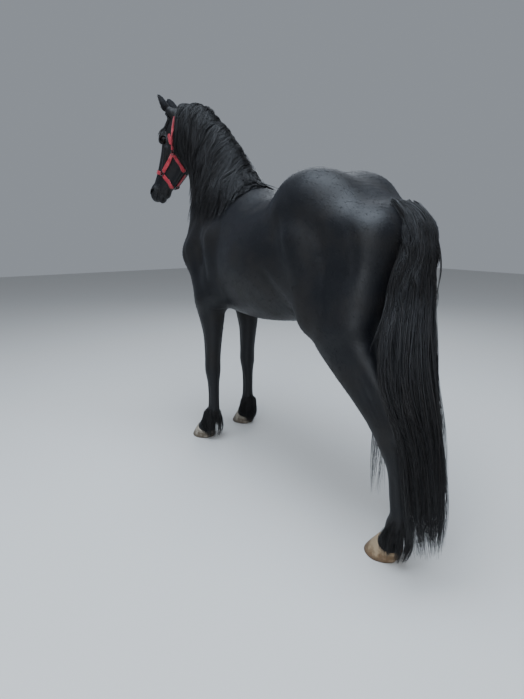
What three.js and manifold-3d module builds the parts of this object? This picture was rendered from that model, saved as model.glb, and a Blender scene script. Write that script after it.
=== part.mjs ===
// A black Friesian horse as a still, life-size model. It stands parked out with its left hind leg furthest back,
// its neck arched and its head turned a little to its left, and it wears a red web halter.
// Millimetres, +Z up, +X towards the head, +Y to the horse's left.
import * as THREE from "three";
import { mergeVertices } from "three/addons/utils/BufferGeometryUtils.js";
import Module from "manifold-3d";

const wasm = await Module();
wasm.setup();

// Driving sizes
const GAP = 0.3; // between the faces of two neighbouring nodes
const GRAZE = 0.1; // how far a clipped ray may run past a cut
const SOFT = 60; // how widely one muscle of the trunk runs into the next
const STEPS = 5; // straight pieces between two stations of a body tube
const SPINE = { withers: 1590, back: 1525, croup: 1614, tailHead: 1450 }; // heights of the top line
const HEAD = {
  poll: [598, 108, 2118], // between the ears
  turn: 30.7, // degrees to the horse's left of its spine
  drop: 68, // degrees of the face below the horizontal
};
const EYE = { along: 224, front: 4, side: 88, radius: 22 };
const EAR = { width: 35, wall: 5, root: [42, 46, 50], tip: [-16, 150, 60] };
const FORE = { elbow: 905, knee: 465, fetlock: 170, coronet: 82 };
const HIND = { hock: 520, fetlock: 175, coronet: 82 };
const HOOF = { toe: 89, heel: 73, half: 74, crownBack: 31, crownLong: 55, crownHalf: 61, crown: 68, crownRise: 0.375 };
const HALTER = { width: 25, thick: 3, clear: 2, ring: 14, wire: 2.8 };
const CUT = { fore: 935, hind: 1025, foreInner: 72, hindInner: 4 }; // where the legs part from the trunk
const SPLIT = 300; // height at which a leg ends and its fetlock begins

const v3 = (x, y, z) => new THREE.Vector3(x, y, z);
const rad = THREE.MathUtils.degToRad;
const lerp = THREE.MathUtils.lerp;

// The shape of the animal is one field: negative inside the skin, in millimetres from it. Every mass of bone and
// muscle is a field of its own, and they run together over a soft width.
const blend = (a, b, k) => {
  const h = Math.max(k - Math.abs(a - b), 0) / k;
  return Math.min(a, b) - h * h * k * 0.25;
};

// Distance from an egg-shaped surface, measured along the line from its middle
const radial = (length, ratio, least) => (ratio < 1e-4 ? -least : length * (1 - 1 / ratio));

// A tapered bone or muscle between two points
function taper(a, b, ra, rb, soft = SOFT) {
  const [ax, ay, az] = a;
  const dx = b[0] - ax;
  const dy = b[1] - ay;
  const dz = b[2] - az;
  const length2 = dx * dx + dy * dy + dz * dz;
  const at = (x, y, z) => {
    const px = x - ax;
    const py = y - ay;
    const pz = z - az;
    const t = Math.min(Math.max((px * dx + py * dy + pz * dz) / length2, 0), 1);
    return Math.hypot(px - t * dx, py - t * dy, pz - t * dz) - (ra + (rb - ra) * t);
  };
  return { at, soft };
}

// A rounded muscle with three radii along three directions of its own
function bulge(centre, radii, axes = [v3(1, 0, 0), v3(0, 1, 0), v3(0, 0, 1)], soft = SOFT) {
  const [cx, cy, cz] = centre;
  const [a, b, c] = axes;
  const at = (x, y, z) => {
    const px = x - cx;
    const py = y - cy;
    const pz = z - cz;
    const u = (px * a.x + py * a.y + pz * a.z) / radii[0];
    const v = (px * b.x + py * b.y + pz * b.z) / radii[1];
    const w = (px * c.x + py * c.y + pz * c.z) / radii[2];
    return radial(Math.hypot(px, py, pz), Math.hypot(u, v, w), Math.min(...radii));
  };
  return { at, soft };
}

// A tube with an egg-shaped section along a bent line. A station is [centre, up direction, up, down, side radius]
function tube(stations, soft = SOFT, capRadius = 60) {
  const count = (stations.length - 1) * STEPS;
  const samples = [];
  const curveOf = (pick) => new THREE.CatmullRomCurve3(stations.map(pick), false, "catmullrom", 0.5);
  const centres = curveOf((s) => v3(...s[0]));
  const ups = curveOf((s) => v3(...s[1]).normalize());
  const sizes = curveOf((s) => v3(s[2], s[3], s[4]));
  for (let i = 0; i <= count; i++) {
    const t = i / count;
    samples.push({ c: centres.getPoint(t), up: ups.getPoint(t), size: sizes.getPoint(t) });
  }
  const at = (x, y, z) => {
    let best = Infinity;
    let index = 0;
    let along = 0;
    let over = 0;
    for (let i = 0; i < count; i++) {
      const a = samples[i].c;
      const b = samples[i + 1].c;
      const dx = b.x - a.x;
      const dy = b.y - a.y;
      const dz = b.z - a.z;
      const raw = ((x - a.x) * dx + (y - a.y) * dy + (z - a.z) * dz) / (dx * dx + dy * dy + dz * dz);
      const t = Math.min(Math.max(raw, 0), 1);
      const d2 = (x - a.x - t * dx) ** 2 + (y - a.y - t * dy) ** 2 + (z - a.z - t * dz) ** 2;
      if (d2 < best) {
        best = d2;
        index = i;
        along = t;
        over = (i === 0 && raw < 0) || (i === count - 1 && raw > 1) ? raw - t : 0;
      }
    }
    const a = samples[index];
    const b = samples[index + 1];
    const axis = b.c.clone().sub(a.c);
    const step = axis.length();
    axis.divideScalar(step);
    const up = a.up.clone().lerp(b.up, along);
    up.addScaledVector(axis, -up.dot(axis)).normalize();
    const side = axis.cross(up);
    const size = a.size.clone().lerp(b.size, along);
    const p = v3(x, y, z).sub(a.c.clone().lerp(b.c, along));
    const h = p.dot(up);
    const w = p.dot(side);
    const e = over * step;
    const ratio = Math.hypot(h / (h > 0 ? size.x : size.y), w / size.z, e / capRadius);
    return radial(Math.hypot(h, w, e), ratio, Math.min(size.x, size.y, size.z));
  };
  return { at, soft, samples };
}

const UP = [0, 0, 1];
const FRONT = [1, 0, 0];

// The trunk from the chest to the buttocks
const trunk = tube([
  [[300, 0, 1215], UP, 150, 185, 160],
  [[200, 0, 1230], UP, 250, 300, 205],
  [[60, 0, 1230], UP, 325, 372, 238],
  [[-100, 0, 1220], UP, SPINE.withers - 1225, 380, 272],
  [[-280, 0, 1200], UP, SPINE.back + 10 - 1200, 360, 318],
  [[-450, 0, 1190], UP, SPINE.back + 15 - 1190, 328, 335],
  [[-600, 0, 1200], UP, SPINE.croup - 32 - 1200, 300, 320],
  [[-720, 0, 1225], UP, SPINE.croup - 12 - 1225, 265, 298],
  [[-830, 0, 1250], UP, SPINE.croup - 10 - 1250, 235, 285],
  [[-930, 0, 1255], UP, SPINE.croup - 56 - 1255, 205, 270],
  [[-1030, 0, 1250], UP, SPINE.tailHead + 36 - 1250, 180, 245],
  [[-1110, 0, 1240], UP, SPINE.tailHead - 1240, 160, 205],
], SOFT, 90);

// The neck, with its crest on the up side and its throat below
const neck = tube([
  [[95, 0, 1320], [-0.66, 0, 0.75], 334, 350, 224],
  [[195, 2, 1520], [-0.76, 0, 0.65], 275, 325, 214],
  [[262, 14, 1668], [-0.77, 0, 0.64], 236, 264, 172],
  [[350, 40, 1800], [-0.62, -0.04, 0.78], 208, 186, 128],
  [[450, 70, 1905], [-0.3, -0.04, 0.95], 190, 164, 104],
  [[555, 98, 1965], [0.05, 0, 1], 152, 150, 84],
], 50, 60);

// The head has its own directions: along the face, out of the forehead, and to its left
const turn = rad(HEAD.turn);
const drop = rad(HEAD.drop);
const ALONG = v3(Math.cos(drop) * Math.cos(turn), Math.cos(drop) * Math.sin(turn), -Math.sin(drop));
const BROW = v3(Math.sin(drop) * Math.cos(turn), Math.sin(drop) * Math.sin(turn), Math.cos(drop));
const LEFT = v3(-Math.sin(turn), Math.cos(turn), 0);
const POLL = v3(...HEAD.poll);
const onHead = (along, front, side = 0) =>
  POLL.clone().addScaledVector(ALONG, along).addScaledVector(BROW, front).addScaledVector(LEFT, side);
const headPoint = (...place) => onHead(...place).toArray();
const HEAD_AXES = [ALONG, BROW, LEFT];
const BROW_LIST = BROW.toArray();
const headStation = (along, front, jaw, half) =>
  [headPoint(along, (front + jaw) / 2), BROW_LIST, (front - jaw) / 2, (front - jaw) / 2, half];
const skull = tube([
  headStation(5, 12, -120, 58),
  headStation(70, 40, -150, 72),
  headStation(140, 56, -178, 82),
  headStation(225, 54, -192, 78),
  headStation(300, 45, -188, 64),
  headStation(380, 39, -168, 54),
  headStation(450, 35, -136, 50),
  headStation(515, 34, -97, 50),
  headStation(566, 28, -72, 48),
], 22, 42);

// What lies on one side of the head, side being 1 on the left and -1 on the right
const headSide = (side) => [
  bulge(headPoint(212, -120, side * 44), [126, 114, 46], HEAD_AXES, 24), // jowl
  bulge(headPoint(EYE.along - 16, EYE.front + 24, side * (EYE.side - 22)), [44, 22, 26], HEAD_AXES, 26), // brow
  taper(headPoint(262, -28, side * 70), headPoint(385, -34, side * 44), 17, 10, 26), // cheekbone
  bulge(headPoint(548, -4, side * 36), [42, 30, 22], HEAD_AXES, 24), // nostril
  taper(headPoint(135, -128, side * 48), headPoint(70, -60, side * 58), 34, 26, 26), // back of the jaw
  taper(headPoint(275, -190, side * 36), headPoint(470, -120, side * 28), 24, 16, 20), // jaw bone
  taper(headPoint(50, 12, side * 50), headPoint(...EAR.root.map((v, i) => v * (i === 2 ? side : 1))), 32, 25, 22),
];
const muzzle = [
  bulge(headPoint(582, -12), [42, 40, 47], HEAD_AXES, 20), // upper lip
  bulge(headPoint(580, -60), [36, 24, 36], HEAD_AXES, 12), // lower lip
  bulge(headPoint(540, -84), [36, 22, 32], HEAD_AXES, 16), // chin
];
const headMasses = [skull, ...headSide(1), ...headSide(-1), ...muzzle];

// Legs: where each one stands, and how far it leans
const LEGS = {
  fore_left: { side: 1, x: 140, y: 178, hoof: [236, 200] },
  fore_right: { side: -1, x: 232, y: -152, hoof: [288, -152] },
  hind_left: { side: 1, reach: 0, y: 205, hoof: [-1313, 199] },
  hind_right: { side: -1, reach: 150, y: -185, hoof: [-1148, -178] },
};

function foreLeg({ x, y, hoof }) {
  const foot = (t) => [lerp(x, hoof[0] - HOOF.crownBack, t), lerp(y, hoof[1], t)];
  const lift = FORE.knee;
  return tube([
    [[x - 45, y * 0.94, 1120], FRONT, 112, 124, 78],
    [[x - 40, y * 0.97, 1000], FRONT, 118, 116, 86],
    [[x + 2, y, FORE.elbow], FRONT, 108, 112, 90],
    [[x - 8, y, FORE.elbow - 100], FRONT, 86, 82, 76],
    [[x - 12, y, FORE.elbow - 200], FRONT, 68, 66, 60],
    [[x - 6, y, lift + 140], FRONT, 58, 55, 53],
    [[x - 2, y, lift + 80], FRONT, 53, 52, 51],
    [[x, y, lift + 38], FRONT, 51, 51, 52],
    [[x, y, lift], FRONT, 49, 51, 51],
    [[x - 1, y, lift - 42], FRONT, 43, 47, 44],
    [[x - 1, y, lift - 85], FRONT, 34, 44, 39],
    [[x - 1, y, lift - 160], FRONT, 31, 43, 36],
    [[...foot(0.02), FORE.fetlock + 62], FRONT, 33, 45, 37],
    [[...foot(0.08), FORE.fetlock + 22], FRONT, 40, 50, 43],
    [[...foot(0.2), FORE.fetlock - 6], [0.95, 0, 0.3], 43, 52, 47],
    [[...foot(0.5), FORE.fetlock - 42], [0.8, 0, 0.6], 39, 44, 43],
    [[...foot(0.78), FORE.coronet + 20], [0.8, 0, 0.6], 44, 47, 51],
    [[...foot(1), HOOF.crown], [0.94, 0, 0.35], 53, 53, 59],
  ], 40, 30);
}

function hindLeg({ reach, y, hoof }) {
  const lean = (x) => x + reach;
  const foot = (t) => [lerp(lean(-1378), hoof[0] - HOOF.crownBack, t), lerp(y, hoof[1], t)];
  return tube([
    [[-925, y * 0.72, 1180], FRONT, 175, 185, 112],
    [[-935 + reach * 0.1, y * 0.92, 1040], [0.97, 0, -0.25], 158, 182, 112],
    [[-985 + reach * 0.3, y, 915], [0.85, 0, -0.5], 124, 150, 98],
    [[-1065 + reach * 0.5, y, 800], [0.72, 0, -0.7], 90, 118, 82],
    [[-1165 + reach * 0.75, y, 685], [0.7, 0, -0.72], 63, 86, 62],
    [[lean(-1262), y, HIND.hock + 65], [0.75, 0, -0.66], 52, 68, 54],
    [[lean(-1312), y, HIND.hock], [0.93, 0, -0.35], 52, 62, 53],
    [[lean(-1342), y, HIND.hock - 60], FRONT, 46, 54, 48],
    [[lean(-1358), y, HIND.hock - 125], FRONT, 36, 46, 40],
    [[lean(-1368), y, HIND.fetlock + 120], FRONT, 32, 44, 36],
    [[...foot(0), HIND.fetlock + 55], FRONT, 33, 46, 38],
    [[...foot(0.05), HIND.fetlock + 10], FRONT, 43, 53, 47],
    [[...foot(0.25), HIND.fetlock - 22], [0.92, 0, 0.4], 43, 51, 48],
    [[...foot(0.6), HIND.fetlock - 55], [0.8, 0, 0.6], 40, 45, 45],
    [[...foot(0.82), HIND.coronet + 18], [0.8, 0, 0.6], 45, 48, 52],
    [[...foot(1), HOOF.crown], [0.94, 0, 0.35], 53, 53, 59],
  ], 45, 30);
}

const legTubes = {
  fore_left: foreLeg(LEGS.fore_left),
  fore_right: foreLeg(LEGS.fore_right),
  hind_left: hindLeg(LEGS.hind_left),
  hind_right: hindLeg(LEGS.hind_right),
};

// Muscles of one side of the trunk
const bodySide = (side, leg, hind) => {
  const reach = hind.reach;
  return [
    taper([20, side * 95, 1520], [290, side * 162, 1200], 66, 80, 90), // shoulder blade
    taper([235, side * 105, 1430], [285, side * 150, 1260], 92, 84, 110), // base of the neck
    taper([292, side * 166, 1180], [leg.x - 10, side * 186, 950], 82, 98, 90), // upper arm
    taper([20, side * 170, 1290], [30, side * 190, 985], 115, 66), // muscle behind the arm
    bulge([292, side * 84, 1120], [80, 84, 120], undefined, 90), // breast
    bulge([-745, side * 135, 1460], [238, 150, 163]), // croup
    taper([-650, side * 218, 1425], [-720, side * 205, 1330], 58, 70), // point of the hip
    taper([-760, side * 140, 1440], [-1080, side * 118, 1315], 135, 120, 40), // croup
    taper([-1080, side * 112, 1310], [-1075 + reach * 0.25, side * 182, 955], 120, 112), // hamstrings
    taper([-770, side * 205, 1290], [-868 + reach * 0.2, side * 218, 950], 108, 76), // front of the thigh
    taper([-700, side * 210, 1120], [-815, side * 216, 985], 58, 46, 80), // fold of the flank
    taper([-1282 + reach, hind.y, 585], [-1370 + reach, hind.y, HIND.hock + 55], 38, 29, 40), // point of the hock
    taper([-1364 + reach, hind.y, HIND.hock + 60], [-1150 + reach * 0.65, hind.y, 840], 24, 56, 70), // its tendon
  ];
};
const bodyMasses = [
  trunk,
  neck,
  ...bodySide(1, LEGS.fore_left, LEGS.hind_left),
  ...bodySide(-1, LEGS.fore_right, LEGS.hind_right),
  ...Object.values(legTubes),
];

const fieldOf = (masses) => (x, y, z) => {
  let d = masses[0].at(x, y, z);
  for (let i = 1; i < masses.length; i++) d = blend(d, masses[i].at(x, y, z), masses[i].soft);
  return d;
};
const headField = fieldOf(headMasses);
const bodyField = fieldOf(bodyMasses);
const horse = (x, y, z) => {
  const body = bodyField(x, y, z);
  return z < 1400 || x < 150 ? body : blend(body, headField(x, y, z), 34);
};

// Surfaces are lofts: from a point inside each ring, rays in the ring's plane run out to the skin
const FAR = 700;
const STRIDE = 5;
function reach(field, from, to, wanted = 0) {
  const at = (t) => field(from.x + to.x * t, from.y + to.y * t, from.z + to.z * t) - wanted;
  let low = 0;
  let high = 0;
  let d = at(0);
  while (d < 0 && high < FAR) {
    low = high;
    high += Math.max(-d * 0.6, STRIDE);
    d = at(high);
  }
  for (let i = 0; i < 14; i++) {
    const mid = (low + high) / 2;
    if (at(mid) < 0) low = mid;
    else high = mid;
  }
  return (low + high) / 2;
}

function ring(centre, normal, upHint) {
  const n = normal.clone().normalize();
  const u = upHint.clone().addScaledVector(n, -upHint.dot(n)).normalize();
  return { centre, n, u, v: n.clone().cross(u) };
}

// Rings run from the first to the last; a pole rounds an end off and a flat cap closes it where it is cut
function loft(field, rings, sides, { startPole = false, endPole = false, wanted = 0 } = {}) {
  const positions = [];
  const index = [];
  const push = (p) => positions.push(p.x, p.y, p.z) / 3 - 1;
  for (const { centre, u, v } of rings) {
    for (let j = 0; j < sides; j++) {
      const angle = (2 * Math.PI * j) / sides;
      const dir = u.clone().multiplyScalar(Math.cos(angle)).addScaledVector(v, Math.sin(angle));
      push(centre.clone().addScaledVector(dir, reach(field, centre, dir, wanted)));
    }
  }
  const end = (r, pole, sign) => {
    const dir = r.n.clone().multiplyScalar(sign);
    return push(pole ? r.centre.clone().addScaledVector(dir, reach(field, r.centre, dir, wanted)) : r.centre);
  };
  const first = end(rings[0], startPole, -1);
  const last = end(rings.at(-1), endPole, 1);
  const top = (rings.length - 1) * sides;
  for (let j = 0; j < sides; j++) {
    const k = (j + 1) % sides;
    for (let i = 0; i + 1 < rings.length; i++) {
      const a = i * sides + j;
      const b = i * sides + k;
      index.push(a, b, b + sides, a, b + sides, a + sides);
    }
    index.push(first, k, j, last, top + j, top + k);
  }
  return geometryOf(positions, index);
}

function geometryOf(positions, index) {
  const geometry = new THREE.BufferGeometry();
  geometry.setAttribute("position", new THREE.Float32BufferAttribute(positions, 3));
  geometry.setIndex(index);
  return geometry;
}

// Solids for joining and cutting, and back
function solidOf(geometry) {
  const bare = geometry.clone();
  bare.deleteAttribute("normal");
  bare.deleteAttribute("uv");
  const merged = mergeVertices(bare, 1e-4);
  const vertProperties = new Float32Array(merged.attributes.position.array);
  const triVerts = new Uint32Array(merged.index.array);
  const mesh = new wasm.Mesh({ numProp: 3, vertProperties, triVerts });
  mesh.merge();
  return new wasm.Manifold(mesh);
}

// The largest closed surface of a solid: a scrap or a sealed hollow left by a cut falls away
function largest(solid) {
  const pieces = solid.decompose();
  return pieces.reduce((best, piece) => (piece.volume() > best.volume() ? piece : best));
}

// Corners closer than a weld distance become one, and the faces that this closes up are dropped
const WELDS = [0.02, 0.03, 0.05, 0.08, 0.12, 0.2, 0.3, 0.5];
function welded(mesh, distance) {
  const merged = mergeVertices(geometryOf(Array.from(mesh.vertProperties), Array.from(mesh.triVerts)), distance);
  const faces = new Map();
  for (let i = 0; i < merged.index.count; i += 3) {
    const corners = [0, 1, 2].map((k) => merged.index.getX(i + k));
    if (new Set(corners).size < 3) continue;
    const key = corners.toSorted((a, b) => a - b).join();
    if (faces.has(key)) faces.delete(key);
    else faces.set(key, corners);
  }
  return { positions: Array.from(merged.attributes.position.array), faces: Array.from(faces.values()) };
}
// A surface is closed when every edge has one face on each side
function isClosed({ faces }) {
  const edges = new Map();
  for (const corners of faces) {
    for (let k = 0; k < 3; k++) {
      const [a, b] = [corners[k], corners[(k + 1) % 3]];
      const key = `${Math.min(a, b)},${Math.max(a, b)}`;
      edges.set(key, (edges.get(key) ?? 0) + 1);
    }
  }
  return edges.values().every((count) => count === 2);
}
function geometryFrom(solid) {
  const mesh = largest(solid).getMesh();
  const tries = WELDS.map((distance) => welded(mesh, distance));
  const best = tries.find(isClosed) ?? tries[0];
  return geometryOf(best.positions, best.faces.flat());
}

const materials = {
  coat: new THREE.MeshStandardMaterial({ color: 0x16171b, roughness: 0.42, metalness: 0 }),
  horn: new THREE.MeshStandardMaterial({ color: 0x8a7455, roughness: 0.65, metalness: 0 }),
  eye: new THREE.MeshStandardMaterial({ color: 0x120a06, roughness: 0.08, metalness: 0 }),
  webbing: new THREE.MeshStandardMaterial({ color: 0xb8283a, roughness: 0.7, metalness: 0 }),
  iron: new THREE.MeshStandardMaterial({ color: 0x25262a, roughness: 0.45, metalness: 0.6 }),
};
const model = new THREE.Group();
function addNode(name, geometry, material) {
  const mesh = new THREE.Mesh(geometry, materials[material].clone());
  mesh.name = name;
  model.add(mesh);
}

// A block that reaches from a plane outwards, for cutting along it
const BLOCK = 3000;
function blockBeyond(point, normal) {
  const geometry = new THREE.BoxGeometry(BLOCK, BLOCK, BLOCK).translate(0, 0, BLOCK / 2);
  geometry.applyQuaternion(new THREE.Quaternion().setFromUnitVectors(v3(0, 0, 1), normal.clone().normalize()));
  return solidOf(geometry.translate(point.x, point.y, point.z));
}
function boxBetween(low, high) {
  const size = high.clone().sub(low);
  const middle = low.clone().add(high).multiplyScalar(0.5);
  return solidOf(new THREE.BoxGeometry(size.x, size.y, size.z).translate(middle.x, middle.y, middle.z));
}

// Where neck and trunk part, and neck and head
const NECK_BASE = { point: v3(195, 2, 1520), normal: v3(0.5, 0, 0.866) };
const cutTop = onHead(-15, 20);
const cutLow = onHead(262, -250);
const HEAD_CUT = { point: cutTop, normal: LEFT.clone().cross(cutTop.clone().sub(cutLow)).normalize() };
const shifted = (point, normal, by) => point.clone().addScaledVector(normal, by);

// Trunk
const OVERLAP = 40; // how far a surface runs past a cut before it is cut
const legBox = (name, extra = 0) => {
  const leg = LEGS[name];
  const fore = name.startsWith("fore");
  const inner = fore ? CUT.foreInner : CUT.hindInner;
  const low = fore ? v3(leg.x - 300, 0, -100) : v3(-1500, 0, -100);
  const high = fore ? v3(leg.x + 260, 500, CUT.fore - extra) : v3(-640, 500, CUT.hind - extra);
  low.y = leg.side > 0 ? inner + extra : -500;
  high.y = leg.side > 0 ? 500 : -inner - extra;
  return { low, high };
};
const boxField = ({ low, high }) => (x, y, z) =>
  Math.max(low.x - x, x - high.x, low.y - y, y - high.y, low.z - z, z - high.z);
const legNames = Object.keys(LEGS);
const slab = (low, high) => boxBetween(v3(-BLOCK, -BLOCK, low), v3(BLOCK, BLOCK, high));
const legClips = legNames.map((name) => boxField(legBox(name, OVERLAP)));
const planeField = ({ point, normal }, by = 0) => (x, y, z) =>
  (x - point.x) * normal.x + (y - point.y) * normal.y + (z - point.z) * normal.z - by;
const neckBase = planeField(NECK_BASE, OVERLAP);
const trunkField = (x, y, z) => {
  let d = Math.max(bodyField(x, y, z), neckBase(x, y, z));
  for (const clip of legClips) d = Math.max(d, -clip(x, y, z));
  return d;
};
const TRUNK = { back: -1222, front: 372, rings: 32, sides: 28, middle: 1235 };
function trunkSolid(wanted = 0) {
  const rings = [];
  for (let i = 0; i <= TRUNK.rings; i++) {
    const t = i / TRUNK.rings;
    const eased = t + 0.11 * Math.sin(2 * Math.PI * t) * -0.9;
    rings.push(ring(v3(lerp(TRUNK.back, TRUNK.front, eased), 0, TRUNK.middle), v3(1, 0, 0), v3(0, 0, 1)));
  }
  return solidOf(loft(trunkField, rings, TRUNK.sides, { startPole: true, endPole: true, wanted }));
}
let torso = trunkSolid();
torso = torso.subtract(blockBeyond(shifted(NECK_BASE.point, NECK_BASE.normal, -GAP / 2), NECK_BASE.normal));
for (const name of legNames) {
  const { low, high } = legBox(name, -GAP / 2);
  torso = torso.subtract(boxBetween(low, high));
}
addNode("torso", geometryFrom(torso), "coat");

// Neck
const NECK = { rings: 13, sides: 24 };
function neckRings() {
  const start = { c: v3(185, 2, 1505), n: NECK_BASE.normal };
  const end = { c: onHead(80, -130), n: HEAD_CUT.normal };
  start.c.addScaledVector(start.n, -planeField(NECK_BASE)(...start.c.toArray()) + GAP / 2);
  end.c.addScaledVector(end.n, -planeField(HEAD_CUT)(...end.c.toArray()) - GAP / 2);
  const path = new THREE.CatmullRomCurve3([start.c, v3(262, 14, 1655), v3(350, 40, 1785), v3(425, 65, 1890), end.c]);
  const rings = [];
  for (let i = 0; i <= NECK.rings; i++) {
    const t = i / NECK.rings;
    const normal = start.n.clone().lerp(end.n, t);
    rings.push(ring(path.getPoint(t), normal, lerpVector([-0.76, 0, 0.65], [0.1, 0, 1], t)));
  }
  return rings;
}
function lerpVector(a, b, t) {
  return v3(...a).lerp(v3(...b), t);
}
const headCut = planeField(HEAD_CUT);
const neckFloor = planeField(NECK_BASE);
const neckOnly = (x, y, z) => Math.max(horse(x, y, z), GAP / 2 - GRAZE - neckFloor(x, y, z), headCut(x, y, z) + GAP / 2 - GRAZE);
const neckSolid = solidOf(loft(neckOnly, neckRings(), NECK.sides));

// Head
const SKULL = { rings: 23, sides: 24, front: 588, deepest: 262 };
const headOnly = (x, y, z) => {
  const under = -(x - POLL.x) * BROW.x - (y - POLL.y) * BROW.y - (z - POLL.z) * BROW.z - SKULL.deepest;
  return Math.max(horse(x, y, z), GAP / 2 - GRAZE - headCut(x, y, z), under);
};
function headRings() {
  const rings = [];
  for (let i = 0; i <= SKULL.rings; i++) {
    const t = i / SKULL.rings;
    const sf = lerp(-15, SKULL.front, t);
    const sj = lerp(262, SKULL.front, t);
    const low = onHead(sj, -250);
    const high = onHead(sf, 20);
    const down = lerp(0.52, 0.2, t);
    const centre = high.clone().lerp(low, down);
    const normal = LEFT.clone().cross(high.clone().sub(low)).normalize();
    if (i === 0) centre.addScaledVector(normal, GAP / 2);
    rings.push(ring(centre, normal, BROW));
  }
  return rings;
}
const skullSolid = (wanted = 0) => solidOf(loft(headOnly, headRings(), SKULL.sides, { endPole: true, wanted }));

// Where the skin is, seen from a point, and which way it faces there
const PROBE = 2;
function gradient(field, p) {
  const at = (dx, dy, dz) => field(p.x + dx, p.y + dy, p.z + dz);
  const x = at(PROBE, 0, 0) - at(-PROBE, 0, 0);
  const y = at(0, PROBE, 0) - at(0, -PROBE, 0);
  const z = at(0, 0, PROBE) - at(0, 0, -PROBE);
  return v3(x, y, z).divideScalar(2 * PROBE);
}
function toLevel(field, p, level) {
  const q = p.clone();
  for (let i = 0; i < 8; i++) {
    const g = gradient(field, q);
    q.addScaledVector(g, (level - field(q.x, q.y, q.z)) / Math.max(g.lengthSq(), 0.2));
  }
  return q;
}

// A head's own directions as a matrix, to place the small shapes that are cut or joined there
const headFrame = (origin) => new THREE.Matrix4().makeBasis(ALONG, BROW, LEFT.clone().negate()).setPosition(origin);
const mirrorOf = ([along, front, half], side) => [along, front, half * side];

// Eyes, set so that a third of the ball stands out of the orbit, and the lids round them
const EYE_SHOWS = 9;
const LID = { radius: 19, thick: 5.2, long: 1.22, high: 0.86 };
function eyeParts(side) {
  const outward = LEFT.clone().multiplyScalar(side).addScaledVector(BROW, 0.18).normalize();
  const skin = toLevel(horse, onHead(EYE.along, EYE.front, side * EYE.side), 0);
  const centre = skin.clone().addScaledVector(outward, EYE_SHOWS - EYE.radius);
  const ball = (extra) => solidOf(
    new THREE.SphereGeometry(EYE.radius + extra, 12, 8).translate(centre.x, centre.y, centre.z),
  );
  const lid = new THREE.TorusGeometry(LID.radius, LID.thick, 5, 14).scale(LID.long, LID.high, 1);
  const across = ALONG.clone().addScaledVector(outward, -ALONG.dot(outward)).normalize();
  const basis = new THREE.Matrix4().makeBasis(across, outward.clone().cross(across), outward);
  lid.applyMatrix4(basis.setPosition(skin.clone().addScaledVector(outward, -1)));
  return { ball, lid: solidOf(lid) };
}
const eyes = { left: eyeParts(1), right: eyeParts(-1) };

// Nostrils and the line of the mouth are cut into the muzzle
const NOSTRIL = { place: [562, 6, 44], size: [18, 8, 14], turn: 0.7 };
function nostril(side) {
  const skin = toLevel(horse, onHead(...mirrorOf(NOSTRIL.place, side)), -3);
  const hole = new THREE.SphereGeometry(1, 10, 7).scale(...NOSTRIL.size);
  hole.rotateZ(NOSTRIL.turn);
  return solidOf(hole.applyMatrix4(headFrame(skin)));
}
const MOUTH = { corner: 505, front: 660, height: -41, open: 3.2, half: 90 };
function mouthLine() {
  const profile = new THREE.Shape();
  profile.moveTo(MOUTH.corner, MOUTH.height - 9);
  profile.quadraticCurveTo(MOUTH.corner + 40, MOUTH.height - 2, MOUTH.front, MOUTH.height);
  profile.lineTo(MOUTH.front, MOUTH.height + MOUTH.open);
  profile.quadraticCurveTo(MOUTH.corner + 40, MOUTH.height + 1, MOUTH.corner, MOUTH.height - 7.8);
  const slit = new THREE.ExtrudeGeometry(profile, { depth: 2 * MOUTH.half, bevelEnabled: false, curveSegments: 5 });
  return solidOf(slit.translate(0, 0, -MOUTH.half).applyMatrix4(headFrame(POLL)));
}

let headSolid = skullSolid();
for (const eye of Object.values(eyes)) headSolid = headSolid.add(eye.lid);
for (const eye of Object.values(eyes)) headSolid = headSolid.subtract(eye.ball(GAP));
for (const side of [1, -1]) headSolid = headSolid.subtract(nostril(side));
headSolid = headSolid.subtract(mouthLine());
const headGap = skullSolid(GAP);

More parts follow.
